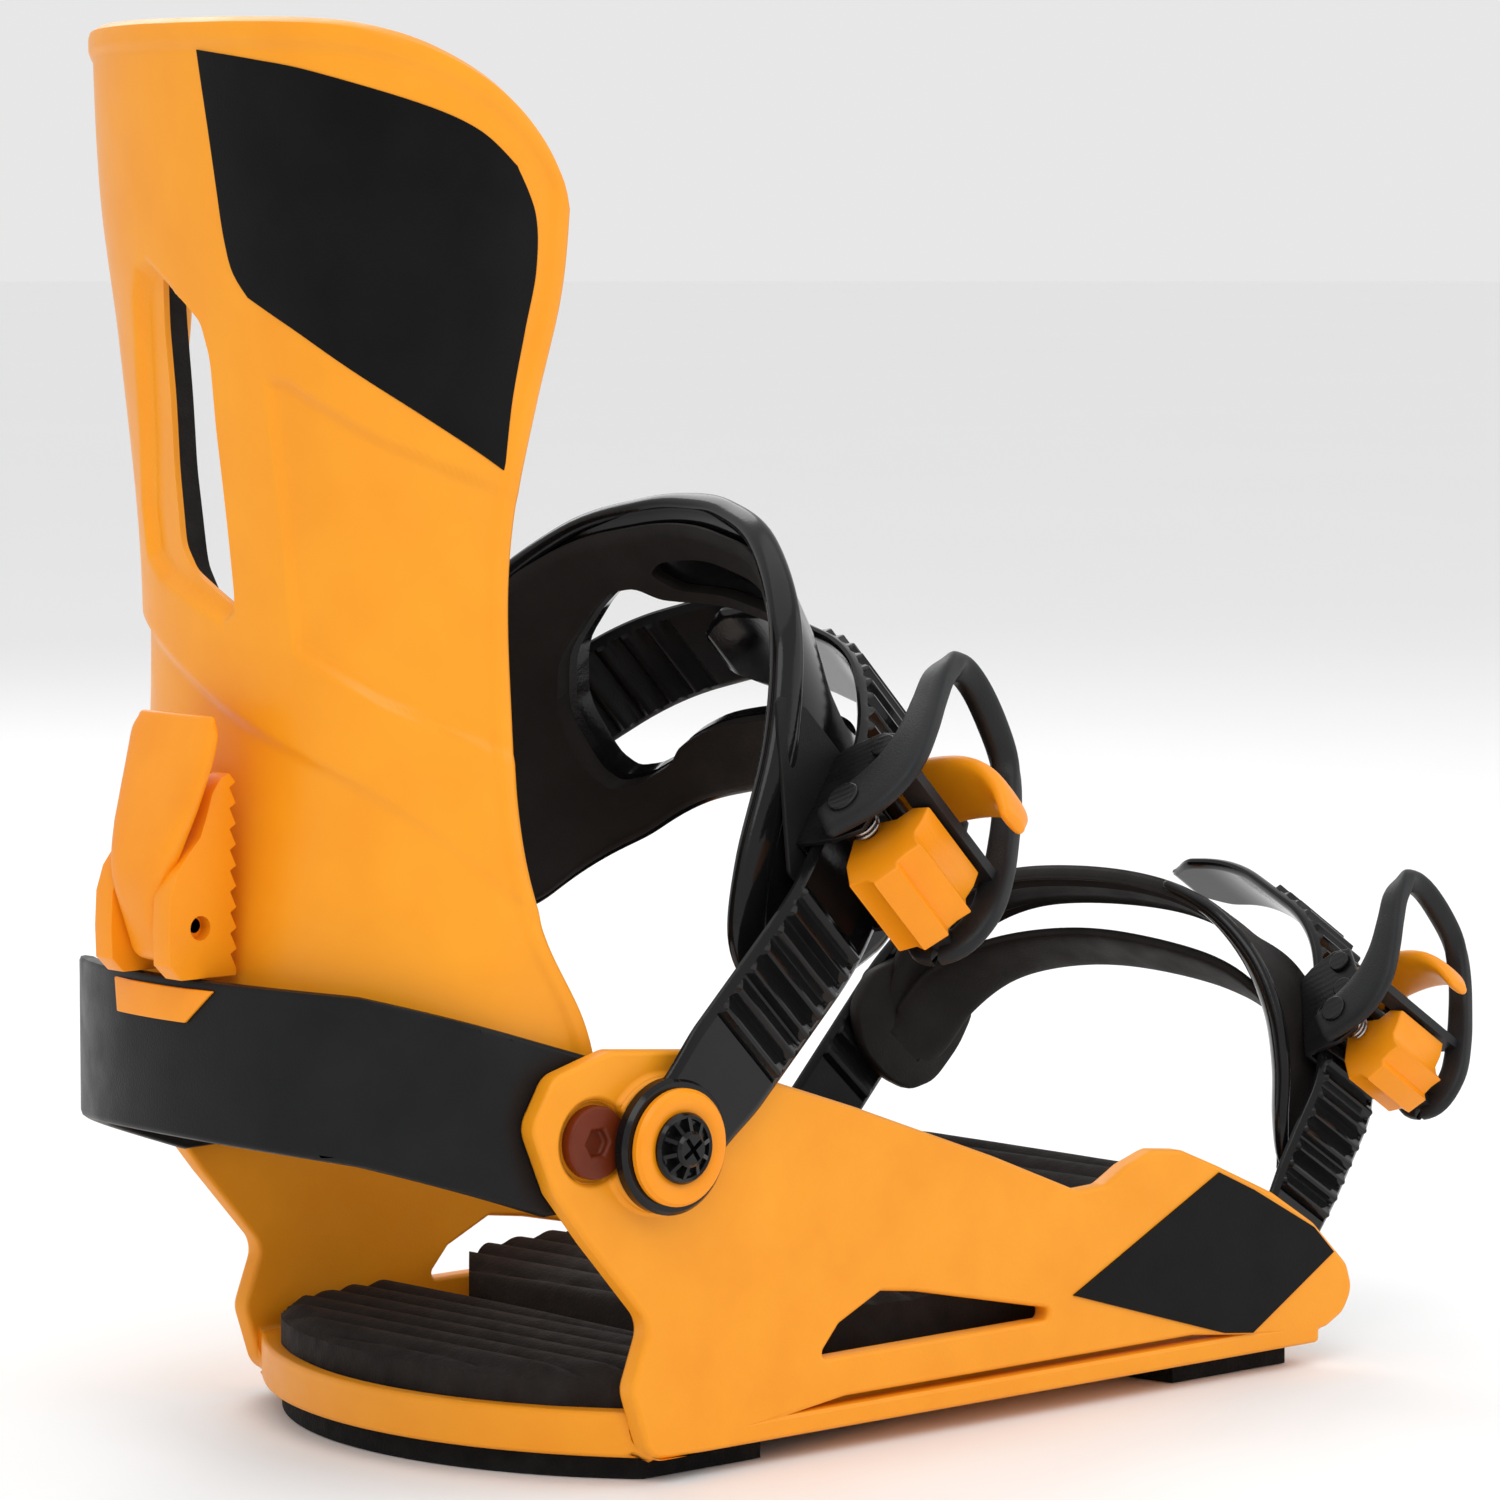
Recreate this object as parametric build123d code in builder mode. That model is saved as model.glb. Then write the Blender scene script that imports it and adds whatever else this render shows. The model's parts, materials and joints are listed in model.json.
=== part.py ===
from build123d import *
from math import cos, radians, sin
import os

# A two-strap snowboard binding. Millimetres, +X to the toe, +Y to the inner side of the foot, +Z up.
# The origin is the centre of the mounting disc, on the board's top face.

os.makedirs("parts", exist_ok=True)

# ---- driving dimensions ----
PAD_T = 5.0                 # foam pads under the base
FLOOR_T = 5.0               # base plate floor
FLOOR_TOP = PAD_T + FLOOR_T
WALL_IN = 62.0              # inner and outer faces of the side rails and arms, from the centre plane
WALL_OUT = 67.0
BOSS_OUT = 69.0             # faces that the ankle straps turn against
SCREW_SEAT = WALL_OUT - 1.5 # faces that the highback screws' heads seat on
HEEL_X = -115.0             # rearmost point of the heel tray
TOE_X = 117.0               # tip of the toe rails
RAIL_CORNER = 5.5            # rounding of the rails' outline
DISC_R = 50.0
BOLT_PITCH = 40.0
BOLT_SLOT_R = 3.2
BOLT_SLOT_L = 12.0

ANKLE_PIVOT = (-90.0, 70.0)         # x and z of the ankle strap screws
BACK_PIVOT = (-107.0, 72.0)         # x and z of the highback pivot screws
TOE_PIVOT = (100.0, 26.0)           # x and z of the outer toe strap screw
TOE_FAR_PIVOT = (50.0, 26.0)        # x and z of the inner toe strap screw, further back
ANKLE_SLOPE = 44.0                  # rise of the ankle strap from the screws, degrees
PAD_SLOPE = 30.0                    # rise of the ankle pad, which sits steeper on the shin
TOE_SLOPE = 57.0                    # rise of the toe strap on the outer side
TOE_FAR_SLOPE = 47.0                # and on the inner side

ANKLE_LADDER_W = 24.0
TOE_LADDER_W = 20.0
LADDER_T = 2.6
TOOTH_H = 1.4
ANKLE_TOOTH = 5.6                   # pitch of the ladder teeth
TOE_TOOTH = 4.6
ANKLE_SIZE = 1.2                    # size of the ankle ratchet against the toe ratchet
TOE_SIZE = 1.0
TOE_THREAD_R = 2.0                  # toe strap screws, in blind holes in the rails
TOE_THREAD_L = 3.8
FIT = 0.05                          # running clearance on pins and screws


def write(part, label):
    part.label = label
    export_step(part, "parts/" + label + ".step")


def strap_plane(pivot, slope):
    # sketch x is the object's Y, sketch y climbs along the strap, the normal is across its width
    rise = radians(slope)
    return Plane(origin=(pivot[0], 0, pivot[1]), x_dir=(0, 1, 0), z_dir=(sin(rise), 0, -cos(rise)))


ankle_plane = strap_plane(ANKLE_PIVOT, ANKLE_SLOPE)
pad_plane = strap_plane(ANKLE_PIVOT, PAD_SLOPE)
toe_plane = strap_plane(TOE_PIVOT, TOE_SLOPE)
toe_far_plane = strap_plane(TOE_FAR_PIVOT, TOE_FAR_SLOPE)


def side_plane(y):
    # an upright plane along the binding: its sketch reads x and z, and extrude(amount=-t) goes to +Y
    return Plane.XZ.offset(-y)


# ---- base plate ----
rail_outline = [
    (-92, PAD_T), (-58, PAD_T), (-54, 9.5), (-38, 11.5), (66, 11.5), (90, 8.5), (108, 8), (114, 11),
    (TOE_X, 16), (115, 22), (104, 32.5), (91, 40.5), (73, 48.5), (62, 53), (53, 54), (45, 51.5), (38, 47.8),
    (30, 47.5), (5, 57.5), (-35, 72), (-62, 81), (-80, 88), (-102, 90), (-117, 86), (-123, 76),
    (-117, 62), (-108, 51), (-92, 33), (-97, 20),
]
window_outline = [(-46, 20.3), (-40, 27), (-28, 32.5), (-18, 31.2), (21, 23), (21, 20.6)]
HEEL_SIDE_X = -88.0                 # where the heel arc meets the rails
LIP_H = 4.5

with BuildPart() as base_plate:
    with BuildSketch(Plane.XY.offset(PAD_T)):
        with BuildLine():
            ThreePointArc((HEEL_SIDE_X, -WALL_OUT), (HEEL_X, 0), (HEEL_SIDE_X, WALL_OUT))
            Line((HEEL_SIDE_X, WALL_OUT), (106, WALL_OUT))
            ThreePointArc((106, WALL_OUT), (114, 0), (106, -WALL_OUT))
            Line((106, -WALL_OUT), (HEEL_SIDE_X, -WALL_OUT))
        make_face()
    extrude(amount=FLOOR_T)
    # the low lip around the heel
    with BuildSketch(Plane.XY.offset(FLOOR_TOP)):
        with BuildLine():
            ThreePointArc((HEEL_SIDE_X, -WALL_OUT), (HEEL_X, 0), (HEEL_SIDE_X, WALL_OUT))
            Line((HEEL_SIDE_X, WALL_OUT), (-85, WALL_IN))
            ThreePointArc((-85, WALL_IN), (HEEL_X + 4, 0), (-85, -WALL_IN))
            Line((-85, -WALL_IN), (HEEL_SIDE_X, -WALL_OUT))
        make_face()
    extrude(amount=LIP_H)
    # side rails with the ankle arms
    for inner_face in (-WALL_OUT, WALL_IN):
        with BuildSketch(side_plane(inner_face)):
            with BuildLine():
                FilletPolyline(*rail_outline, close=True, radius=RAIL_CORNER)
            make_face()
        extrude(amount=WALL_IN - WALL_OUT)
    # an arched window through each rail
    with BuildSketch(side_plane(0)):
        with BuildLine():
            FilletPolyline(*window_outline, close=True, radius=1.2)
        make_face()
    extrude(amount=WALL_OUT + 1, both=True, mode=Mode.SUBTRACT)
    # bosses under the ankle straps
    for boss_face in (-BOSS_OUT, WALL_OUT):
        with BuildSketch(side_plane(boss_face)):
            with Locations(ANKLE_PIVOT):
                Circle(14)
        extrude(amount=WALL_OUT - BOSS_OUT)
    # screw holes
    for pivot, radius in ((ANKLE_PIVOT, 3.5), (BACK_PIVOT, 4.0)):
        with BuildSketch(side_plane(0)):
            with Locations(pivot):
                Circle(radius)
        extrude(amount=80, both=True, mode=Mode.SUBTRACT)
    # blind holes for the toe strap screws, from inside
    for pivot, out in ((TOE_PIVOT, -1), (TOE_FAR_PIVOT, 1)):
        with BuildSketch(side_plane(out * WALL_IN)):
            with Locations(pivot):
                Circle(TOE_THREAD_R + FIT)
        extrude(amount=-out * TOE_THREAD_L, mode=Mode.SUBTRACT)
    # round recess around each highback screw
    for recess_face in (-BOSS_OUT, SCREW_SEAT):
        with BuildSketch(side_plane(recess_face)):
            with Locations(BACK_PIVOT):
                Circle(8.5)
        extrude(amount=SCREW_SEAT - BOSS_OUT, mode=Mode.SUBTRACT)
    # seat of the disc
    with Locations((0, 0, FLOOR_TOP)):
        CounterBoreHole(radius=46.2, counter_bore_radius=DISC_R + 0.2, counter_bore_depth=2.5)
write(base_plate.part, "base_plate")

# ---- mounting disc ----
with BuildPart() as mounting_disc:
    with BuildSketch():
        Circle(46.0)
    extrude(amount=FLOOR_TOP - 2.5)
    with BuildSketch(Plane.XY.offset(FLOOR_TOP - 2.5)):
        Circle(DISC_R)
    extrude(amount=4.0)
    with BuildSketch():
        with GridLocations(BOLT_PITCH, BOLT_PITCH, 2, 2):
            SlotOverall(BOLT_SLOT_L + 2 * BOLT_SLOT_R, 2 * BOLT_SLOT_R)
    extrude(amount=FLOOR_TOP + 2, mode=Mode.SUBTRACT)
write(mounting_disc.part, "mounting_disc")

# ---- foam pads under the base ----
with BuildPart() as heel_under_pad:
    with BuildSketch():
        with BuildLine():
            ThreePointArc((-88, -60), (HEEL_X + 3, 0), (-88, 60))
            Line((-88, 60), (-56, 60))
            ThreePointArc((-56, 60), (-52, 0), (-56, -60))
            Line((-56, -60), (-88, -60))
        make_face()
    extrude(amount=PAD_T)
write(heel_under_pad.part, "heel_under_pad")

with BuildPart() as toe_under_pad:
    with BuildSketch():
        with BuildLine():
            ThreePointArc((66, -60), (60, 0), (66, 60))
            Line((66, 60), (102, 60))
            ThreePointArc((102, 60), (111, 0), (102, -60))
            Line((102, -60), (66, -60))
        make_face()
    extrude(amount=PAD_T)
write(toe_under_pad.part, "toe_under_pad")

# ---- footbeds ----
HEEL_BED_TOP = 23.0
HEEL_BED_END = -58.0
BED_HALF = WALL_IN - 1.0

with BuildPart() as heel_footbed:
    with BuildSketch(Plane.XY.offset(FLOOR_TOP)):
        with BuildLine():
            ThreePointArc((-86, -BED_HALF + 2), (HEEL_X + 4.6, 0), (-86, BED_HALF - 2))
            Line((-86, BED_HALF - 2), (HEEL_BED_END, BED_HALF))
            Line((HEEL_BED_END, BED_HALF), (HEEL_BED_END, -BED_HALF))
            Line((HEEL_BED_END, -BED_HALF), (-86, -BED_HALF + 2))
        make_face()
    extrude(amount=HEEL_BED_TOP - FLOOR_TOP)
    # cross grooves
    with BuildSketch(Plane.XY.offset(HEEL_BED_TOP - 1.5)):
        with Locations((-80, 0)):
            with GridLocations(6.4, 1, 7, 1):
                Rectangle(2.0, 96)
    extrude(amount=2.0, mode=Mode.SUBTRACT)
write(heel_footbed.part, "heel_footbed")

toe_bed_side = [
    (HEEL_BED_END + 0.5, FLOOR_TOP), (HEEL_BED_END + 0.5, 24), (-52, 28), (20, 31), (60, 37), (95, 41),
    (110, 36), (112, 31), (108, FLOOR_TOP),
]
with BuildPart() as toe_footbed:
    with BuildSketch(side_plane(-BED_HALF + 5)):
        with BuildLine():
            Polyline(*toe_bed_side, close=True)
        make_face()
    extrude(amount=-2 * (BED_HALF - 5))
    # cross grooves in the flat and in the ramp
    for groove in range(14):
        groove_x = -44 + groove * 11
        groove_z = 28.2 + 0.036 * (groove_x + 52)
        if groove_x > 20:
            groove_z = 31 + 0.142 * (groove_x - 20)
        with BuildSketch(side_plane(-48)):
            with Locations((groove_x, groove_z + 0.6)):
                Rectangle(2.4, 3.0)
        extrude(amount=-96, mode=Mode.SUBTRACT)
    # room for the disc and its bolt heads
    with BuildSketch(Plane.XY.offset(FLOOR_TOP)):
        Circle(DISC_R + 1)
    extrude(amount=5, mode=Mode.SUBTRACT)
write(toe_footbed.part, "toe_footbed")

# ---- heel hoop ----
HOOP_REAR = -165.0
HOOP_T = 4.0


def hoop_form(inset):
    # an upright prism on the plan outline of the hoop, moved inwards by inset
    with BuildPart() as form:
        with BuildSketch():
            with BuildLine():
                Spline(
                    (-122, -WALL_IN + inset), (-155 + inset * 0.8, -40 + inset * 0.6),
                    (HOOP_REAR + inset, 0), tangents=((-1, 0), (0, 1)))
                Spline(
                    (HOOP_REAR + inset, 0), (-155 + inset * 0.8, 40 - inset * 0.6),
                    (-122, WALL_IN - inset), tangents=((0, 1), (1, 0)))
                Line((-122, WALL_IN - inset), (-70, WALL_IN - inset))
                Line((-70, WALL_IN - inset), (-70, -WALL_IN + inset))
                Line((-70, -WALL_IN + inset), (-122, -WALL_IN + inset))
            make_face()
        extrude(amount=130)
    return form.part


hoop_outer = hoop_form(0.02)
hoop_inner = hoop_form(HOOP_T)
badge_outer = hoop_form(-0.8)

with BuildPart() as hoop:
    add(hoop_outer)
    add(hoop_inner, mode=Mode.SUBTRACT)
    # the band climbs to the rear
    with BuildSketch(side_plane(-80)):
        with BuildLine():
            Polyline((-170, 105), (-150, 103), (-102, 88), (-76, 84), (-72, 66), (-82, 58),
                     (-115, 57), (-150, 69), (-170, 73), close=True)
        make_face()
        fillet(vertices().sort_by(Axis.X)[-2:], 5)
    extrude(amount=-160, mode=Mode.INTERSECT)
    for pivot, radius in ((ANKLE_PIVOT, 3.5), (BACK_PIVOT, 4.0)):
        with BuildSketch(side_plane(0)):
            with Locations(pivot):
                Circle(radius)
        extrude(amount=80, both=True, mode=Mode.SUBTRACT)
write(hoop.part, "hoop")

# the badge plate lies on the rear of the hoop, just below its top edge
with BuildPart() as hoop_badge:
    add(badge_outer)
    add(hoop_outer, mode=Mode.SUBTRACT)
    with BuildSketch(Plane.YZ.offset(-175)):
        with BuildLine():
            Polyline((-17, 102.5), (16, 102.5), (15, 95.5), (-9, 95.5), close=True)
        make_face()
    extrude(amount=40, mode=Mode.INTERSECT)
write(hoop_badge.part, "hoop_badge")

# ---- highback ----
SHELL_T = 4.0
CALF_T = 5.0
# at each height: rear, corner x, corner half width, front half width
back_sections = [
    (58, -154, -146, 34, 56.5), (106, -154, -146, 34, 56.5), (145, -150.5, -143, 33, 51),
    (185, -151, -144, 33, 48.5), (230, -154, -147, 36, 53), (262, -157, -150, 38.5, 57),
    (302, -158, -151, 40, 58),
]
BACK_FRONT = -60.0          # forward of the front edges, trimmed later


def back_solid(inset):
    # the highback's outer form, moved inwards by inset and closed across the front
    with BuildPart() as form:
        for z, rear, corner_x, corner_y, half in back_sections:
            with BuildSketch(Plane.XY.offset(z)):
                with BuildLine():
                    Spline(
                        (-116, -half + inset), (corner_x + inset * 0.75, -corner_y + inset * 0.65),
                        (rear + inset, 0), tangents=((-1, 0), (0, 1)))
                    Spline(
                        (rear + inset, 0), (corner_x + inset * 0.75, corner_y - inset * 0.65),
                        (-116, half - inset), tangents=((0, 1), (1, 0)))
                    Line((-116, half - inset), (BACK_FRONT, half - inset))
                    Line((BACK_FRONT, half - inset), (BACK_FRONT, -half + inset))
                    Line((BACK_FRONT, -half + inset), (-116, -half + inset))
                make_face()
        loft()
    return form.part


back_edge = [
    (-170, 100), (-170, 298), (-157, 296), (-140, 291), (-117, 280), (-107, 271), (-103, 259), (-104, 240),
    (-108, 220), (-112, 195), (-113, 160), (-113, 130), (-109, 112), (-100, 95), (-97, 84), (-98, 72),
    (-101, 64), (-108, 61), (-115, 64), (-122, 74), (-140, 92),
]
calf_edge = [
    (-170, 118), (-170, 288), (-155, 286), (-138, 281), (-117, 272), (-109, 264), (-106, 256), (-107, 240),
    (-111, 220), (-115, 195), (-116, 160), (-116, 132), (-124, 118),
]

back_outer = back_solid(0)
back_inner = back_solid(SHELL_T)
calf_outer = back_solid(SHELL_T + 0.05)
calf_inner = back_solid(SHELL_T + CALF_T)
panel_outer = back_solid(-0.6)

with BuildPart() as highback_shell:
    add(back_outer)
    add(back_inner, mode=Mode.SUBTRACT)
    with BuildSketch(side_plane(-80)):
        with BuildLine():
            Polyline(*back_edge, close=True)
        make_face()
    extrude(amount=-160, mode=Mode.INTERSECT)
    # pivot holes
    with BuildSketch(side_plane(0)):
        with Locations(BACK_PIVOT):
            Circle(4.0 + FIT)
    extrude(amount=80, both=True, mode=Mode.SUBTRACT)
    # the slim window beside the centre line
    with BuildSketch(Plane.YZ.offset(-170)):
        with BuildLine():
            Polyline((4, 243), (14, 240), (14, 218), (8, 187), (-7, 177), (-3, 216), (0, 231), close=True)
        make_face()
        fillet(vertices(), 1.5)
    extrude(amount=40, mode=Mode.SUBTRACT)
write(highback_shell.part, "highback_shell")

with BuildPart() as calf_pad:
    add(calf_outer)
    add(calf_inner, mode=Mode.SUBTRACT)
    with BuildSketch(side_plane(-80)):
        with BuildLine():
            Polyline(*calf_edge, close=True)
        make_face()
    extrude(amount=-160, mode=Mode.INTERSECT)
    with BuildSketch(Plane.YZ.offset(-170)):
        with BuildLine():
            Polyline((3, 247), (17, 244), (17, 216), (11, 184), (-10, 173), (-6, 217), (-3, 233), close=True)
        make_face()
        fillet(vertices(), 2)
    extrude(amount=40, mode=Mode.SUBTRACT)
write(calf_pad.part, "calf_pad")

# the dark panel on the outer half of the highback, a thin skin on the shell
with BuildPart() as highback_panel:
    add(panel_outer)
    add(back_outer, mode=Mode.SUBTRACT)
    with BuildSketch(side_plane(-80)):
        with BuildLine():
            Polyline((-170, 290), (-154, 289), (-126, 277), (-114, 268), (-110, 255), (-112, 236),
                     (-117, 206), (-141, 222), (-170, 241), close=True)
        make_face()
    extrude(amount=-81, mode=Mode.INTERSECT)
write(highback_panel.part, "highback_panel")

# ---- screws that hold the hoop and the highback in the arms ----


def side_screw(face_y, pivot, shank_r, head_r, head_t, reach):
    # a button-head screw along Y: face_y is where its head seats, on either side, and it points inwards
    out = 1 if face_y > 0 else -1
    with BuildPart() as screw:
        with BuildSketch(side_plane(face_y)):
            with Locations(pivot):
                Circle(head_r)
        extrude(amount=-out * head_t)
        with BuildSketch(side_plane(face_y)):
            with Locations(pivot):
                Circle(shank_r)
        extrude(amount=out * reach)
        with BuildSketch(side_plane(face_y + out * head_t)):
            with Locations(pivot):
                RegularPolygon(head_r * 0.4, 6)
        extrude(amount=out * head_t * 0.6, mode=Mode.SUBTRACT)
    return screw.part


def side_nut(face_y, pivot, bore_r, flange_r, flange_t):
    # a round flanged nut inside the binding, seated on face_y
    out = 1 if face_y > 0 else -1
    with BuildPart() as nut:
        with BuildSketch(side_plane(face_y)):
            with Locations(pivot):
                Circle(flange_r)
                Circle(bore_r, mode=Mode.SUBTRACT)
        extrude(amount=out * flange_t)
    return nut.part


write(Compound([side_screw(side * SCREW_SEAT, BACK_PIVOT, 3.9, 7.5, 3.0, 15.0) for side in (-1, 1)]),
      "highback_screws")
write(Compound([side_nut(side * 52.3, BACK_PIVOT, 3.95, 7.0, 2.4) for side in (-1, 1)]), "highback_nuts")

# ---- forward-lean adjuster, on the rear of the highback ----
LEAN_HINGE = (-163.0, 115.0)
lean_side = [
    (-154.6, 105), (-168, 105), (-171, 108.5), (-171, 122), (-167, 131), (-160.5, 140), (-154.6, 143),
]
lean_lever_side = [
    (-161.5, 110.8), (-167, 110.8), (-170.5, 115), (-171.5, 124), (-168, 140), (-163, 157), (-159.5, 157.5),
    (-162.5, 143), (-164.5, 134), (-163, 124),
]
with BuildPart() as lean_block:
    with BuildSketch(side_plane(-12)):
        with BuildLine():
            Polyline(*lean_side, close=True)
        make_face()
    extrude(amount=-24)
    # slot for the lever
    with BuildSketch(side_plane(-7)):
        with BuildLine():
            Polyline((-180, 107.5), (-156.5, 107.5), (-156.5, 150), (-180, 150), close=True)
        make_face()
    extrude(amount=-14, mode=Mode.SUBTRACT)
    # hole for the pin, wider at its ends
    with BuildSketch(side_plane(0)):
        with Locations(LEAN_HINGE):
            Circle(1.5)
    extrude(amount=20, both=True, mode=Mode.SUBTRACT)
    for mouth in (-12, 9.5):
        with BuildSketch(side_plane(mouth)):
            with Locations(LEAN_HINGE):
                Circle(2.6)
        extrude(amount=-2.5, mode=Mode.SUBTRACT)
    # saw teeth along the face against the highback
    with BuildSketch(side_plane(0)):
        with Locations(*[(-154.6, 108.5 + 3.6 * tooth) for tooth in range(9)]):
            RegularPolygon(1.6, 3, rotation=180)
    extrude(amount=13, both=True, mode=Mode.SUBTRACT)
write(lean_block.part, "lean_block")

with BuildPart() as lean_lever:
    with BuildSketch(side_plane(-6.5)):
        with BuildLine():
            Polyline(*lean_lever_side, close=True)
        make_face()
    extrude(amount=-13)
    # the wide thumb end
    with BuildSketch(side_plane(-14)):
        with BuildLine():
            Polyline((-167.2, 143.5), (-163, 157), (-159.5, 157.5), (-162.4, 144), close=True)
        make_face()
    extrude(amount=-28)
    with BuildSketch(side_plane(0)):
        with Locations(LEAN_HINGE):
            Circle(1.5 + FIT)
    extrude(amount=20, both=True, mode=Mode.SUBTRACT)
write(lean_lever.part, "lean_lever")

with BuildPart() as lean_pin:
    with BuildSketch(side_plane(-9.4)):
        with Locations(LEAN_HINGE):
            Circle(1.5)
    extrude(amount=-18.8)
write(lean_pin.part, "lean_pin")


# ---- straps: ladders and connectors ----
STRAP_Y = 71.0                      # centre line of the ankle straps beside the arms
TOE_STRAP_Y = WALL_IN - 2.2         # centre line of the toe straps inside the rails
TOE_FIT = 0.4                       # the toe straps' eyes are loose, so the strap rocks on both screws


def strap(plane, route, radii, width, pitch, first_tooth, last_tooth, eye_r, eye_t, bore_r):
    # a toothed strap: route is its centre line in the strap plane, starting at the screw
    facing = 1 if route[0][0] > 0 else -1
    with BuildLine(plane) as centre:
        FilletPolyline(*route, radius=radii)
    path = centre.wires()[0]
    with BuildPart() as strip:
        with BuildSketch(plane):
            with BuildLine():
                FilletPolyline(*route, radius=radii)
            trace(line_width=LADDER_T)
        extrude(amount=width / 2, both=True)
        # the eye around the screw
        eye_plane = Plane(origin=plane.from_local_coords((route[0][0], 0, 0)), z_dir=(0, 1, 0))
        with BuildSketch(eye_plane.offset(-eye_t / 2)):
            Circle(eye_r)
        extrude(amount=eye_t)
        with BuildSketch(eye_plane.offset(-eye_t)):
            Circle(bore_r)
        extrude(amount=2 * eye_t, mode=Mode.SUBTRACT)
        # the teeth stand on the outer face
        for tooth in range(int((last_tooth - first_tooth) / pitch)):
            station = (first_tooth + tooth * pitch) / path.length
            along = path % station
            outward = along.cross(plane.z_dir) * facing
            root = path @ station + outward * (LADDER_T / 2 - 0.1)
            with BuildSketch(Plane(origin=root, x_dir=along, z_dir=plane.z_dir * -facing)):
                with BuildLine():
                    Polyline((-pitch * 0.36, 0), (-pitch * 0.1, TOOTH_H), (pitch * 0.28, TOOTH_H),
                             (pitch * 0.36, 0), close=True)
                make_face()
            extrude(amount=width / 2 - 2, both=True)
    return strip.part


ankle_ladder_route = [(-STRAP_Y, 0), (-STRAP_Y, 58), (-59, 100), (-38, 124), (0, 134), (20, 130)]
ankle_connector_route = [(STRAP_Y, 0), (STRAP_Y, 58), (60, 101), (40, 126), (12, 137.5)]
toe_ladder_route = [(-TOE_STRAP_Y, 0), (-TOE_STRAP_Y, 40), (-39, 76), (-6, 89), (16, 87)]
toe_connector_route = [(TOE_STRAP_Y, 0), (TOE_STRAP_Y, 66), (55, 90)]

write(strap(ankle_plane, ankle_ladder_route, [60, 50, 45, 50], ANKLE_LADDER_W, ANKLE_TOOTH,
            20, 150, 14, 3.6, 4.0 + FIT), "ankle_ladder")
write(strap(ankle_plane, ankle_connector_route, [60, 50, 45], ANKLE_LADDER_W, 2 * ANKLE_TOOTH,
            30, 140, 14, 3.6, 4.0 + FIT), "ankle_connector")
write(strap(toe_plane, toe_ladder_route, [24, 35, 40], TOE_LADDER_W, TOE_TOOTH,
            16, 96, 9, 2.8, 3.0 + TOE_FIT), "toe_ladder")
write(strap(toe_far_plane, toe_connector_route, [40], TOE_LADDER_W, 2 * TOE_TOOTH,
            46, 60, 9, 2.8, 3.0 + TOE_FIT), "toe_connector")

# ---- strap screws, washers and nuts ----
EYE_OUT = STRAP_Y + 1.8 + 0.2       # outer face of the ankle strap eyes, with clearance
WASHER_T = 2.0


def ring(face_y, pivot, outer_r, inner_r, thickness):
    # a flat washer that stands outwards from face_y
    out = 1 if face_y > 0 else -1
    with BuildPart() as washer:
        with BuildSketch(side_plane(face_y)):
            with Locations(pivot):
                Circle(outer_r)
                Circle(inner_r, mode=Mode.SUBTRACT)
        extrude(amount=-out * thickness)
        chamfer(washer.faces().sort_by(Axis.Y)[-1 if out > 0 else 0].edges(), 0.4)
    return washer.part


def strap_screw(face_y, pivot, sleeve_r, sleeve_len, shank_r, head_r, head_t, reach):
    # a shoulder screw: the sleeve turns in the strap's eye and clamps against the arm
    out = 1 if face_y > 0 else -1
    plain = side_screw(face_y, pivot, shank_r, head_r, head_t, reach)
    with BuildPart() as whole:
        add(plain)
        with BuildSketch(side_plane(face_y)):
            with Locations(pivot):
                Circle(sleeve_r)
        extrude(amount=out * sleeve_len)
    return whole.part


for side, label in ((-1, "ankle_ladder"), (1, "ankle_connector")):
    write(ring(side * EYE_OUT, ANKLE_PIVOT, 12.0, 4.0 + FIT, WASHER_T), label + "_washer")
    write(strap_screw(side * (EYE_OUT + WASHER_T), ANKLE_PIVOT, 4.0, EYE_OUT + WASHER_T - BOSS_OUT, 3.4,
                      7.4, 3.0, 18.0), label + "_screw")
    write(side_nut(side * 57.9, ANKLE_PIVOT, 3.45, 7.5, 1.3), label + "_nut")

TOE_EYE_IN = TOE_STRAP_Y - 1.4 - 0.8
for side, label, pivot in ((-1, "toe_ladder", TOE_PIVOT), (1, "toe_connector", TOE_FAR_PIVOT)):
    # a shoulder screw from inside the binding: head, sleeve in the strap's eye, thread in the rail
    with BuildPart() as toe_screw:
        for radius, from_y, length in ((6.0, TOE_EYE_IN - 1.4, 1.4), (3.0, TOE_EYE_IN, WALL_IN - TOE_EYE_IN),
                                       (TOE_THREAD_R, WALL_IN, TOE_THREAD_L - 0.3)):
            with BuildSketch(side_plane(side * from_y)):
                with Locations(pivot):
                    Circle(radius)
            extrude(amount=-side * length)
        with BuildSketch(side_plane(side * (TOE_EYE_IN - 1.4))):
            with Locations(pivot):
                RegularPolygon(2.2, 6)
        extrude(amount=-side * 1.0, mode=Mode.SUBTRACT)
    write(toe_screw.part, label + "_screw")

# ---- ankle pad: outer shell and inner liner ----
pad_side = [
    (-60, 108), (-50, 93), (-18, 103), (2, 118), (16, 138), (-4, 172), (-20, 199), (-38, 180), (-48, 148),
    (-57, 125),
]
opening_plane = Plane(origin=pad_plane.origin, x_dir=(0, 1, 0), z_dir=pad_plane.y_dir)


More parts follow.
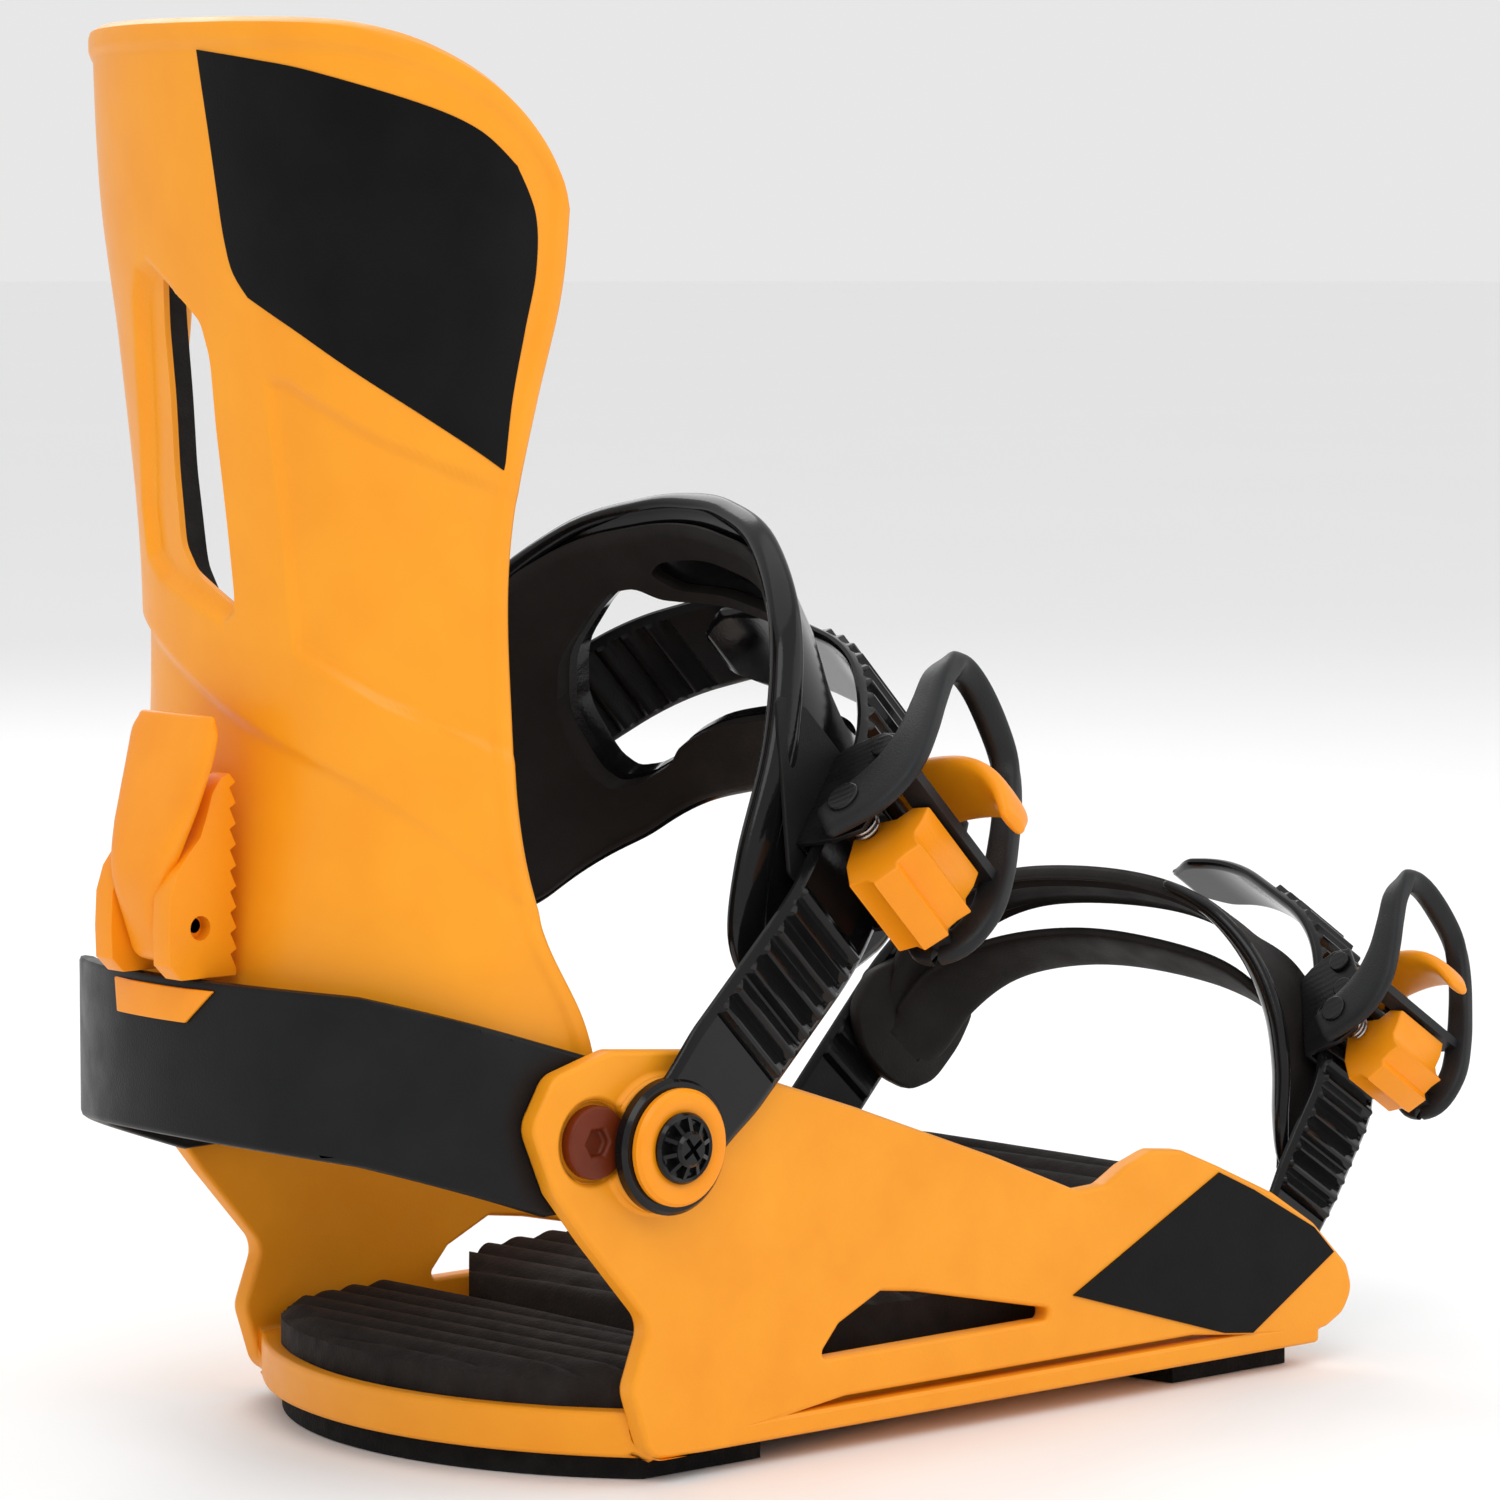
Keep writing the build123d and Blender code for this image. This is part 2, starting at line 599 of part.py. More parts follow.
def pad_band(inset, thickness):
    # the arch of the pad, its centre line moved inwards by inset, cut to the pad's side outline
    flank = 60.5 - inset
    crown = 120 - inset
    half = [(-flank, 30), (-flank, 62), (-52 + inset, 94 - 0.4 * inset), (-32 + 0.3 * inset, 112.5 - inset)]
    mirrored = [(-y, u) for y, u in reversed(half)]
    with BuildPart() as arch:
        with BuildSketch(pad_plane.offset(12)):
            with BuildLine():
                FilletPolyline(*half, (0, crown), *mirrored, radius=[44, 40, 38, 60, 38, 40, 44])
            trace(line_width=thickness)
        extrude(amount=-100)
        with BuildSketch(side_plane(-90)):
            with BuildLine():
                Polyline(*pad_side, close=True)
            make_face()
            fillet(vertices(), 4)
        extrude(amount=-180, mode=Mode.INTERSECT)
        with BuildSketch(opening_plane.offset(60)):
            with Locations((0, 40)):
                SlotOverall(92, 27)
        extrude(amount=90, mode=Mode.SUBTRACT)
    return arch.part


write(pad_band(0, 3.0), "ankle_pad")
write(pad_band(3.1, 2.8), "ankle_pad_liner")

# ---- ratchets ----
# Each is drawn at the toe ratchet's size in its own frame: x runs along the ladder to its free end,
# y points outwards, z crosses the strap, and the origin is on the ladder's centre line.
PIN_R = 1.6
PLATE_T = 1.2
BASE_GAP = 0.5                      # between the frame's base and the ladder
LEVER_PIN = (-4.0, 8.6)
REAR_PIN = (4.5, 8.6)
RELEASE_PIN = (12.0, 8.0)

ear_outline = [(-9, 6), (-7.5, 11), (-1, 12.5), (8, 12), (15, 10.5), (16, 6), (14, 0)]
# the lever and the drive block are drawn about the lever pin
lever_outline = [
    (-20, 7.5), (-19, 10.5), (-10, 14.5), (4, 13), (20, 9.5), (34, 6), (34, 1.5), (20, 3.5), (9, 4.5),
    (4.5, 1), (3.6, -3), (0, -4.4), (-4, -2.5), (-7, 3), (-18.5, 6.5),
]
lever_bars = [
    [(30, 2.2), (34, 1.5), (34, 6), (30, 7)],
    [(-2.8, 9.5), (1.5, 9.5), (1.5, 13.3), (-2.8, 13.6)],
    [(-19.6, 7), (-17, 6.6), (-16, 11.6), (-19, 10.4)],
]
drive_outline = [
    (-12, 1.5), (-9, -0.8), (0, -2.6), (2.2, 0), (1.4, 2.2), (-2.8, 8.5), (-4.5, 12), (-6, 10), (-8, 11.6),
    (-9.6, 9.2), (-11.6, 10.4), (-13.2, 7.4), (-12.4, 6),
]
release_outline = [
    (8.8, 6.5), (11, 3.6), (13.5, 3.6), (15, 8), (14, 14), (12.5, 21), (9.5, 27), (6.5, 27.5), (8.4, 21),
    (8.4, 12),
]


def about_pin(points, size, turn):
    # the outline turned about the lever pin and moved to it, at the ratchet's size
    c = cos(radians(turn))
    s = sin(radians(turn))
    return [((LEVER_PIN[0] + c * x - s * y) * size, (LEVER_PIN[1] + s * x + c * y) * size) for x, y in points]


def slab(plane, points, near, far, corner=0.0):
    # a closed outline made solid from near to far across the strap
    with BuildPart() as solid:
        with BuildSketch(plane.offset(near)):
            with BuildLine():
                Polyline(*points, close=True)
            make_face()
            if corner:
                fillet(vertices(), corner)
        extrude(amount=far - near)
    return solid.part


def rod(plane, centre, radius, near, far):
    with BuildPart() as solid:
        with BuildSketch(plane.offset(near)):
            with Locations(centre):
                Circle(radius)
        extrude(amount=far - near)
    return solid.part


def drilled(pieces, plane, centre, radius):
    # the pieces joined, with a hole across the strap
    with BuildPart() as solid:
        for piece in pieces:
            add(piece)
        with BuildSketch(plane.offset(-40)):
            with Locations(centre):
                Circle(radius)
        extrude(amount=80, mode=Mode.SUBTRACT)
    return solid.part


def ratchet(label, plane, size, strap_w, turn):
    half = strap_w / 2
    plate_in = half + 0.7
    plate_out = plate_in + PLATE_T
    arm_in = plate_out + 1.5
    arm_out = arm_in + 3.0 * size
    pin_r = PIN_R * size
    lever_pin = (LEVER_PIN[0] * size, LEVER_PIN[1] * size)
    rear_pin = (REAR_PIN[0] * size, REAR_PIN[1] * size)
    release_pin = (RELEASE_PIN[0] * size, RELEASE_PIN[1] * size)
    base_top = -LADDER_T / 2 - BASE_GAP
    base_low = base_top - PLATE_T

    # folded steel frame: two ears on a base under the ladder
    ear = [(x * size, y * size) for x, y in ear_outline]
    ear = [(-9 * size, base_low)] + ear + [(12 * size, base_low)]
    ears = [slab(plane, ear, side * plate_in, side * plate_out) for side in (-1, 1)]
    base = [(-9 * size, base_low), (11 * size, base_low), (11 * size, base_top), (-9 * size, base_top)]
    folded = drilled(ears + [slab(plane, base, -plate_out, plate_out)], plane, lever_pin, pin_r)
    folded = drilled([folded], plane, rear_pin, pin_r)
    folded = drilled([folded], plane, release_pin, pin_r)
    folded = drilled([folded], plane, (0.5 * size, 3.2 * size), 2.0 * size)
    write(folded, label + "_frame")

    # the lever's pin, and the two riveted pins
    with BuildPart() as pivot_pin:
        add(rod(plane, lever_pin, pin_r, -arm_out, arm_out))
        add(rod(plane, lever_pin, 3.0 * size, arm_out, arm_out + 1))
        add(rod(plane, lever_pin, 3.0 * size, -arm_out - 1, -arm_out))
    write(pivot_pin.part, label + "_pivot_pin")
    rivets = []
    for centre in (rear_pin, release_pin):
        with BuildPart() as rivet:
            add(rod(plane, centre, pin_r, -plate_out, plate_out))
            add(rod(plane, centre, 2.4 * size, plate_out, plate_out + 1.1))
            add(rod(plane, centre, 2.4 * size, -plate_out - 1.1, -plate_out))
        rivets.append(rivet.part)
    write(Compound(rivets), label + "_rivets")

    # lever: two arms joined by a far rim, a middle bar and a lower bar
    arm = about_pin(lever_outline, size, turn)
    arms = [slab(plane, arm, side * arm_in, side * arm_out) for side in (-1, 1)]
    bars = [slab(plane, about_pin(bar, size, turn), -arm_in - 0.5, arm_in + 0.5) for bar in lever_bars]
    write(drilled(arms + bars, plane, lever_pin, pin_r + FIT), label + "_lever")

    # drive block, beside its spring on the lever's pin
    block = slab(plane, about_pin(drive_outline, size, turn), -half + 3.6, half - 0.2)
    write(drilled([block], plane, lever_pin, pin_r + FIT), label + "_drive")
    coil_foot = plane.from_local_coords((lever_pin[0], lever_pin[1], -half - 0.15))
    with BuildLine():
        turns = Helix(pitch=1.15, height=2.8, radius=pin_r + 0.85, center=coil_foot, direction=plane.z_dir)
    with BuildPart() as spring:
        with BuildSketch(Plane(origin=turns @ 0, z_dir=turns % 0)):
            Circle(0.45)
        sweep(path=turns, is_frenet=True)
    write(spring.part, label + "_spring")

    tab = slab(plane, [(x * size, y * size) for x, y in release_outline], -6 * size, 9 * size)
    write(drilled([tab], plane, release_pin, pin_r + FIT), label + "_release")


def ratchet_plane(plane, at, lean):
    # lean: how far the strap leans inwards there, degrees
    return Plane(plane.location * Location((at[0], at[1], 0), (0, 0, 90 - lean)))


ankle_ratchet_plane = ratchet_plane(ankle_plane, (-64.5, 80), 15.3)
toe_ratchet_plane = ratchet_plane(toe_plane, (-53, 51.6), 30.3)
ratchet("ankle_ratchet", ankle_ratchet_plane, ANKLE_SIZE, ANKLE_LADDER_W, 0)
ratchet("toe_ratchet", toe_ratchet_plane, TOE_SIZE, TOE_LADDER_W, 20)

# ---- plate between the ankle ratchet and the pad ----
flap_plane = Plane(origin=ankle_ratchet_plane.origin, x_dir=ankle_ratchet_plane.x_dir,
                   z_dir=ankle_ratchet_plane.y_dir)
with BuildPart() as ankle_flap:
    with BuildSketch(flap_plane.offset(-4.2)):
        with BuildLine():
            Polyline((-17, 12), (11.5, 36), (16, 27), (16, -12), (-15, -12), close=True)
        make_face()
        fillet(vertices(), 2)
    extrude(amount=1.1)
write(ankle_flap.part, "ankle_flap")

# ---- keeper that holds the ankle connector on the pad ----
keeper_plane = Plane(ankle_plane.location * Location((65.9, 80, 0), (0, 0, -90 + 14.3)))
with BuildPart() as ankle_keeper:
    with BuildSketch(Plane(origin=keeper_plane.origin, x_dir=keeper_plane.z_dir, z_dir=keeper_plane.x_dir)):
        Rectangle(32, 9)
        Rectangle(25, 5.4, mode=Mode.SUBTRACT)
    extrude(amount=6, both=True)
write(ankle_keeper.part, "ankle_keeper")

# ---- toe cap: two bands that meet at both sides ----


def band(stations, thickness):
    # a strap lofted through stations: centre, width direction and width
    with BuildPart() as form:
        for index, (centre, across, width) in enumerate(stations):
            before = Vector(*stations[max(index - 1, 0)][0])
            after = Vector(*stations[min(index + 1, len(stations) - 1)][0])
            with BuildSketch(Plane(origin=centre, x_dir=across, z_dir=after - before)):
                Rectangle(width, thickness)
        loft()
    return form.part


upper_band = band([
    ((92, 55.8, 70), (-1, 0, 0.8), 16), ((99, 50, 87), (-1, 0, 0.6), 15),
    ((107, 32, 99), (-0.9, 0, 0.5), 14),
    ((109, 0, 102), (-0.9, 0, 0.5), 14), ((109, -28, 99.5), (-0.9, 0, 0.5), 14),
    ((116, -41, 88), (-0.8, 0, 0.5), 20), ((122, -48.6, 69.5), (-0.84, 0, 0.54), 30),
    ((117, -53.4, 56), (-0.84, 0, 0.54), 26), ((109, -54.5, 46), (-0.84, 0, 0.54), 12),
], 3.0)
lower_band = band([
    ((99, 55.8, 62), (-1, 0, 0.8), 20), ((106, 49, 76), (-0.9, 0, 0.6), 18),
    ((112, 30, 85), (-0.8, 0, 0.6), 14),
    ((113, 0, 87), (-0.8, 0, 0.6), 14), ((114, -28, 84), (-0.8, 0, 0.6), 14),
    ((121, -44, 73), (-0.84, 0, 0.54), 20),
], 2.6)
with BuildPart() as toe_cap:
    add(upper_band)
    add(lower_band)
write(toe_cap.part, "toe_cap")

# ---- bracket outside the inner toe connector ----
with BuildPart() as toe_bracket:
    with BuildSketch(side_plane(WALL_IN + 0.4)):
        with BuildLine():
            Polyline((84, 66), (96, 54), (106, 62), (113, 76), (102, 84), (88, 78), close=True)
        make_face()
        fillet(vertices(), 4)
        with Locations((98, 68)):
            Circle(3.2, mode=Mode.SUBTRACT)
    extrude(amount=-2)
write(toe_bracket.part, "toe_bracket")

# ---- dark decals on the outer faces of the toe ----
decals = []
for decal_face in (-WALL_OUT - 0.4, WALL_OUT):
    with BuildPart() as decal:
        with BuildSketch(side_plane(decal_face)):
            with BuildLine():
                Polyline((28, 25), (73, 47), (84, 42), (103.5, 31.5), (110, 25.2), (84, 10), (75, 11),
                         close=True)
            make_face()
        extrude(amount=-0.4)
    decals.append(decal.part)
write(Compound(decals), "toe_decals")
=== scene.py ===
import json
from math import cos, pi, radians, sin, sqrt, tan

import bmesh
import bpy
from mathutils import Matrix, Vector
from mathutils.bvhtree import BVHTree


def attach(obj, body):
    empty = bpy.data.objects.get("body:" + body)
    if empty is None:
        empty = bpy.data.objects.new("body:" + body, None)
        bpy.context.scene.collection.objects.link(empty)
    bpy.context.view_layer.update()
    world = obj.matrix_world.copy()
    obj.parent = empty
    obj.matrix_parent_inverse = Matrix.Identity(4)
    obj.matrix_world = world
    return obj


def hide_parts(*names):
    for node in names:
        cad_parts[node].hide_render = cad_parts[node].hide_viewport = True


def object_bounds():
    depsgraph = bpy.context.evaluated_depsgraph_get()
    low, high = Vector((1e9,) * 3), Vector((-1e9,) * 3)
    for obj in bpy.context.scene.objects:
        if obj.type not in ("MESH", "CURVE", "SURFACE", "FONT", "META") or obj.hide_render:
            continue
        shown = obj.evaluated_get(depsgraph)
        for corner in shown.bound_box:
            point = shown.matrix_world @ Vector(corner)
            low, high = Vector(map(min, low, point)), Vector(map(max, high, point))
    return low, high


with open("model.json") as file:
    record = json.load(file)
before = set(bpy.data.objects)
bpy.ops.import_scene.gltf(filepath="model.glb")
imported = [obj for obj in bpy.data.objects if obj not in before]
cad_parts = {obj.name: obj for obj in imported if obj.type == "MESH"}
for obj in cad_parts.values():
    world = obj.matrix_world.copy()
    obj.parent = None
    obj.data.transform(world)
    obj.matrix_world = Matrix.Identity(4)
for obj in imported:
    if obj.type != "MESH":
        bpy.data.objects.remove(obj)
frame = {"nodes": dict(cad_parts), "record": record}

# A two-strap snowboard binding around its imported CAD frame. Metres, with sizes written in millimetres
# times MM: +X to the toe, +Y to the inner side of the foot, +Z up.
MM = 0.001
CAD_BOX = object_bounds()

# ---- materials ----


def node(tree, kind, **settings):
    made = tree.nodes.new(kind)
    for key, value in settings.items():
        if key in made.inputs:
            made.inputs[key].default_value = value
        else:
            setattr(made, key, value)
    return made


def noise(tree, place, scale, detail=3.0):
    cloud = node(tree, "ShaderNodeTexNoise", Scale=scale, Detail=detail)
    tree.links.new(place.outputs["Object"], cloud.inputs["Vector"])
    return cloud.outputs["Fac"]


def ramp(tree, value, low, high):
    # a colour ramp between two colours or two grey levels
    made = node(tree, "ShaderNodeValToRGB")
    made.color_ramp.elements[0].position = 0.3
    made.color_ramp.elements[1].position = 0.7
    made.color_ramp.elements[0].color = (*low, 1) if isinstance(low, tuple) else (low, low, low, 1)
    made.color_ramp.elements[1].color = (*high, 1) if isinstance(high, tuple) else (high, high, high, 1)
    tree.links.new(value, made.inputs["Fac"])
    return made.outputs["Color"]


def moulded(name, colour, shade, rough, grain=1500.0, depth=0.05, mottle=60.0, metal=0.0, gleam=0.5,
            wave=None):
    # moulded plastic, foam or metal: two tones that drift, a fine grain, uneven gloss
    made = bpy.data.materials.new(name)
    made.use_nodes = True
    tree = made.node_tree
    shader = tree.nodes["Principled BSDF"]
    place = node(tree, "ShaderNodeTexCoord")
    tree.links.new(ramp(tree, noise(tree, place, mottle), colour, shade), shader.inputs["Base Color"])
    tree.links.new(ramp(tree, noise(tree, place, mottle * 2.3), rough[0], rough[1]), shader.inputs["Roughness"])
    shader.inputs["Metallic"].default_value = metal
    shader.inputs["Specular IOR Level"].default_value = gleam
    bump = node(tree, "ShaderNodeBump", Strength=depth, Distance=0.0004)
    tree.links.new(noise(tree, place, grain, 2.0), bump.inputs["Height"])
    if wave:
        # fine drawn or rolled lines along one axis
        lines = node(tree, "ShaderNodeTexWave", Scale=wave, Distortion=1.5)
        lines.bands_direction = "DIAGONAL"
        tree.links.new(place.outputs["Object"], lines.inputs["Vector"])
        second = node(tree, "ShaderNodeBump", Strength=depth, Distance=0.0003)
        tree.links.new(lines.outputs["Fac"], second.inputs["Height"])
        tree.links.new(bump.outputs["Normal"], second.inputs["Normal"])
        bump = second
    tree.links.new(bump.outputs["Normal"], shader.inputs["Normal"])
    return made


ORANGE = moulded("orange_nylon", (0.92, 0.345, 0.012), (0.88, 0.310, 0.009), (0.36, 0.46), 1800, 0.10, gleam=0.3)
ORANGE_BACK = moulded("orange_shell", (0.93, 0.350, 0.012), (0.90, 0.320, 0.010), (0.30, 0.38), 900, 0.04,
                      gleam=0.3)
ORANGE_SOFT = moulded("orange_ratchet", (0.94, 0.320, 0.006), (0.89, 0.285, 0.005), (0.33, 0.42), 1600, 0.08,
                      gleam=0.3)
# the highback screws: the orange of their recesses darkened, painted shade of the hollows they sit in
SHADED_ORANGE = moulded("orange_screw_painted_shade", (0.17, 0.024, 0.004), (0.12, 0.017, 0.003), (0.36, 0.48), 1500, 0.10,
                gleam=0.25)
CHARCOAL = moulded("charcoal_hoop", (0.0085, 0.0088, 0.0095), (0.0125, 0.0128, 0.0135), (0.34, 0.44), 2200, 0.20,
                   gleam=0.12)
PANEL = moulded("panel_inlay", (0.0030, 0.0028, 0.0028), (0.0052, 0.0050, 0.0050), (0.26, 0.38), 2000, 0.12,
                gleam=0.10)
DARK = moulded("dark_plastic", (0.006, 0.006, 0.0065), (0.010, 0.010, 0.011), (0.34, 0.46), 2000, 0.15, gleam=0.14)
GLOSS = moulded("gloss_black", (0.0040, 0.0040, 0.0044), (0.0070, 0.0070, 0.0075), (0.10, 0.19), 1200, 0.05,
                gleam=0.26)
LEVER = moulded("lever_grey", (0.0110, 0.0118, 0.0130), (0.0165, 0.0172, 0.0185), (0.38, 0.50), 2400, 0.22,
                gleam=0.22)
MATT = moulded("matt_grey", (0.0085, 0.0083, 0.0083), (0.0130, 0.0126, 0.0126), (0.50, 0.62), 2400, 0.25, gleam=0.18)
BROWN = moulded("brown_lining", (0.0100, 0.0078, 0.0070), (0.0150, 0.0118, 0.0106), (0.55, 0.68), 2600, 0.30,
                gleam=0.2)
FOAM = moulded("footbed_foam", (0.0125, 0.0098, 0.0088), (0.0200, 0.0160, 0.0145), (0.70, 0.85), 1500, 0.55, 120,
               gleam=0.2)
SOLE = moulded("sole_foam", (0.0040, 0.0040, 0.0040), (0.0085, 0.0085, 0.0085), (0.75, 0.9), 1300, 0.6, 140,
               gleam=0.15)
PADDING = moulded("calf_padding", (0.0110, 0.0105, 0.0105), (0.0180, 0.0172, 0.0172), (0.72, 0.86), 1700, 0.5, 150,
                  gleam=0.2)
STEEL = moulded("black_steel", (0.010, 0.010, 0.011), (0.018, 0.018, 0.020), (0.24, 0.36), 1800, 0.08, 90, 0.55,
                wave=240)
BARE = moulded("bare_steel", (0.42, 0.42, 0.43), (0.55, 0.55, 0.56), (0.22, 0.34), 1800, 0.06, 90, 1.0, wave=300)
FILM = moulded("dark_film", (0.0030, 0.0028, 0.0028), (0.0052, 0.0050, 0.0050), (0.34, 0.44), 1600, 0.10,
               gleam=0.10)

LOOKS = {
    "orange_shell": ORANGE, "dark_disc": DARK, "under_foam": SOLE, "footbed_foam": FOAM,
    "hoop_plastic": CHARCOAL, "badge": ORANGE_SOFT, "highback_orange": ORANGE_BACK, "calf_foam": PADDING,
    "panel_dark": PANEL, "screw_black": STEEL, "nut_steel": STEEL, "lean_orange": ORANGE_SOFT,
    "ladder_black": GLOSS, "washer_orange": ORANGE_SOFT, "pad_shell": GLOSS,
    "pad_liner": BROWN, "flap_matt": MATT, "ratchet_steel": STEEL, "lever_grey": LEVER,
    "ratchet_orange": ORANGE_SOFT, "spring_steel": BARE, "cap_dark": BROWN, "decal_black": FILM,
}
SLOT_OF = {entry["node"]: entry["material_slot"] for entry in frame["record"]["subparts"]}
BODY_OF = {name: body for body, names in frame["record"]["behaviour"]["bodies"].items() for name in names}

# ---- pieces ----


def finish_piece(piece, material, body, replaced=()):
    piece.data.materials.clear()
    piece.data.materials.append(material)
    bpy.context.scene.collection.objects.link(piece)
    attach(piece, body)
    if replaced:
        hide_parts(*replaced)
    return piece


def smooth_by_angle(mesh, degrees=35):
    mesh.polygons.foreach_set("use_smooth", [True] * len(mesh.polygons))
    mesh.set_sharp_from_angle(angle=radians(degrees))


def softened(cad_node, width, segments=2, limit=28):
    # the CAD node's own form with its hard edges rounded, as a moulding or a tumbled stamping has
    source = frame["nodes"][cad_node]
    form = bmesh.new()
    form.from_mesh(source.data)
    form.transform(source.matrix_world)
    bmesh.ops.remove_doubles(form, verts=form.verts, dist=2e-6)
    bmesh.ops.dissolve_limit(form, angle_limit=radians(0.4), verts=form.verts, edges=form.edges)
    surface = BVHTree.FromBMesh(form)
    hard = [edge for edge in form.edges
            if len(edge.link_faces) == 2 and edge.calc_face_angle(0) > radians(limit)]
    bmesh.ops.bevel(form, geom=hard, offset=width * MM, segments=segments, profile=0.5,
                    affect="EDGES", clamp_overlap=False)
    # corners where several edges meet can be thrown off the form: they are brought back to it
    for vertex in form.verts:
        nearest, _, _, away = surface.find_nearest(vertex.co)
        if away > 0.6 * width * MM:
            vertex.co = nearest
    mesh = bpy.data.meshes.new(cad_node + "_soft")
    form.to_mesh(mesh)
    form.free()
    smooth_by_angle(mesh)
    piece = bpy.data.objects.new(cad_node + "_soft", mesh)
    slot = SLOT_OF[cad_node]
    # the highback screws take the darkened orange, painted shade of their recesses
    look = SHADED_ORANGE if cad_node == "highback_screws" else LOOKS[slot]
    finish_piece(piece, look, BODY_OF[cad_node], (cad_node,))
    weighted = piece.modifiers.new("weighted", "WEIGHTED_NORMAL")
    weighted.keep_sharp = True
    return piece


EDGES = {
    "base_plate": 1.1, "hoop": 1.2, "hoop_badge": 0.3, 
    "toe_ladder_screw": 0.4, "toe_connector_screw": 0.4, "highback_screws": 0.7,
    "ankle_ratchet_frame": 0.25, "toe_ratchet_frame": 0.25, "ankle_ratchet_pivot_pin": 0.3,
    "toe_ratchet_pivot_pin": 0.3, "ankle_ratchet_rivets": 0.3, "toe_ratchet_rivets": 0.3,
    "ankle_flap": 0.3, "ankle_keeper": 0.4, "toe_bracket": 0.4,
    }
FORMED = {
    "highback_shell", "calf_pad", "highback_panel", "lean_block", "lean_lever", "ankle_ratchet_lever",
    "ankle_ratchet_drive", "ankle_ratchet_release", "toe_ratchet_lever", "toe_ratchet_drive",
    "toe_ratchet_release", "ankle_ladder", "ankle_connector", "toe_ladder", "toe_connector",
    "ankle_ladder_washer", "ankle_connector_washer", "ankle_ladder_screw", "ankle_connector_screw",
    "ankle_pad", "ankle_pad_liner", "toe_cap", "heel_footbed", "toe_footbed",
}
for cad_node, material_slot in SLOT_OF.items():
    if cad_node in EDGES:
        softened(cad_node, EDGES[cad_node])
    elif cad_node not in FORMED:
        shown = frame["nodes"][cad_node]
        shown.data.materials.clear()
        shown.data.materials.append(LOOKS[material_slot])

# ---- highback: shell, dark inlay and calf pad ----
# Sections in millimetres: height, rear, corner's x and half width, half width at the sides.
BACK_SECTIONS = [
    (58, -154, -146, 34, 56.5), (106, -154, -146, 34, 56.5), (145, -150.5, -143, 33, 51),
    (185, -151, -144, 33, 48.5), (230, -154, -147, 36, 53), (262, -157, -150, 38.5, 57),
    (302, -158, -151, 40, 58),
]
BACK_SIDE_X = -116              # where the rear curve runs into the flat sides
# height and x of the front edges, x and height of the top and of the bottom edge
FRONT_EDGE = [
    (58, -105), (64, -101), (72, -98), (84, -97), (95, -100), (112, -109), (130, -113), (160, -113),
    (195, -112), (220, -108), (240, -104), (259, -103.5), (300, -103.5),
]
TOP_EDGE = [(-160, 296), (-157, 296), (-148, 294.5), (-136, 290), (-122, 282), (-112, 273), (-106, 264), (-103, 256)]
BOTTOM_EDGE = [(-160, 98), (-154, 97), (-140, 92), (-122, 74), (-115, 64), (-108, 61), (-101, 64), (-97, 68)]
FAR_SETBACK = 13                # how much further back the inner side's front edge lies
SHELL_WALL = 4.0
CALF_WALL = 5.0


def read(rows, key):
    # a smooth curve through rows of (key, value)
    if key <= rows[0][0]:
        return rows[0][1]
    if key >= rows[-1][0]:
        return rows[-1][1]
    place = max(i for i in range(len(rows) - 1) if rows[i][0] <= key)
    slopes = []
    for j in (place, place + 1):
        if 0 < j < len(rows) - 1:
            slopes.append((rows[j + 1][1] - rows[j - 1][1]) / (rows[j + 1][0] - rows[j - 1][0]))
        else:
            slopes.append(0.0)
    span = rows[place + 1][0] - rows[place][0]
    t = (key - rows[place][0]) / span
    return ((2 * t ** 3 - 3 * t * t + 1) * rows[place][1] + (t ** 3 - 2 * t * t + t) * span * slopes[0]
            + (3 * t * t - 2 * t ** 3) * rows[place + 1][1] + (t ** 3 - t * t) * span * slopes[1])


def ease(value, low, high):
    # 0 below low, 1 above high, smooth between
    t = min(max((value - low) / (high - low), 0.0), 1.0)
    return t * t * (3 - 2 * t)


def inside_by(outline, s, z):
    # distance to a closed outline, positive inside it
    nearest = 1e9
    inside = False
    for (s0, z0), (s1, z1) in zip(outline, outline[1:] + outline[:1]):
        ds, dz = s1 - s0, z1 - z0
        t = min(max(((s - s0) * ds + (z - z0) * dz) / (ds * ds + dz * dz), 0), 1)
        nearest = min(nearest, (s - s0 - t * ds) ** 2 + (z - z0 - t * dz) ** 2)
        if (z0 > z) != (z1 > z) and s < s0 + (z - z0) * ds / dz:
            inside = not inside
    return sqrt(nearest) * (1 if inside else -1)


def back_section(z, side, setback):
    # half of a level section from the rear centre to the front edge, with the length along it
    rear, corner, corner_y, half = (read([(row[0], row[i]) for row in BACK_SECTIONS], z) for i in (1, 2, 3, 4))
    front = read(FRONT_EDGE, z) - setback * ease(z, 120, 170)
    points = []
    for step in range(41):
        t = step / 40
        u = 1 - t
        points.append((
            u ** 3 * rear + 3 * u * u * t * rear + 3 * u * t * t * (corner + 1.5) + t ** 3 * BACK_SIDE_X,
            3 * u * u * t * corner_y * 0.80 + 3 * u * t * t * half + t ** 3 * half))
    if front > BACK_SIDE_X:
        points.append((front, half))
    else:
        kept = [point for point in points if point[0] < front - 1e-6]
        (x0, y0), (x1, y1) = kept[-1], points[len(kept)]
        points = kept + [(front, y0 + (front - x0) / (x1 - x0) * (y1 - y0))]
    length = [0.0]
    for (x0, y0), (x1, y1) in zip(points, points[1:]):
        length.append(length[-1] + sqrt((x1 - x0) ** 2 + (y1 - y0) ** 2))
    return [(x, side * y) for x, y in points], length


SECTION_CACHE = {}


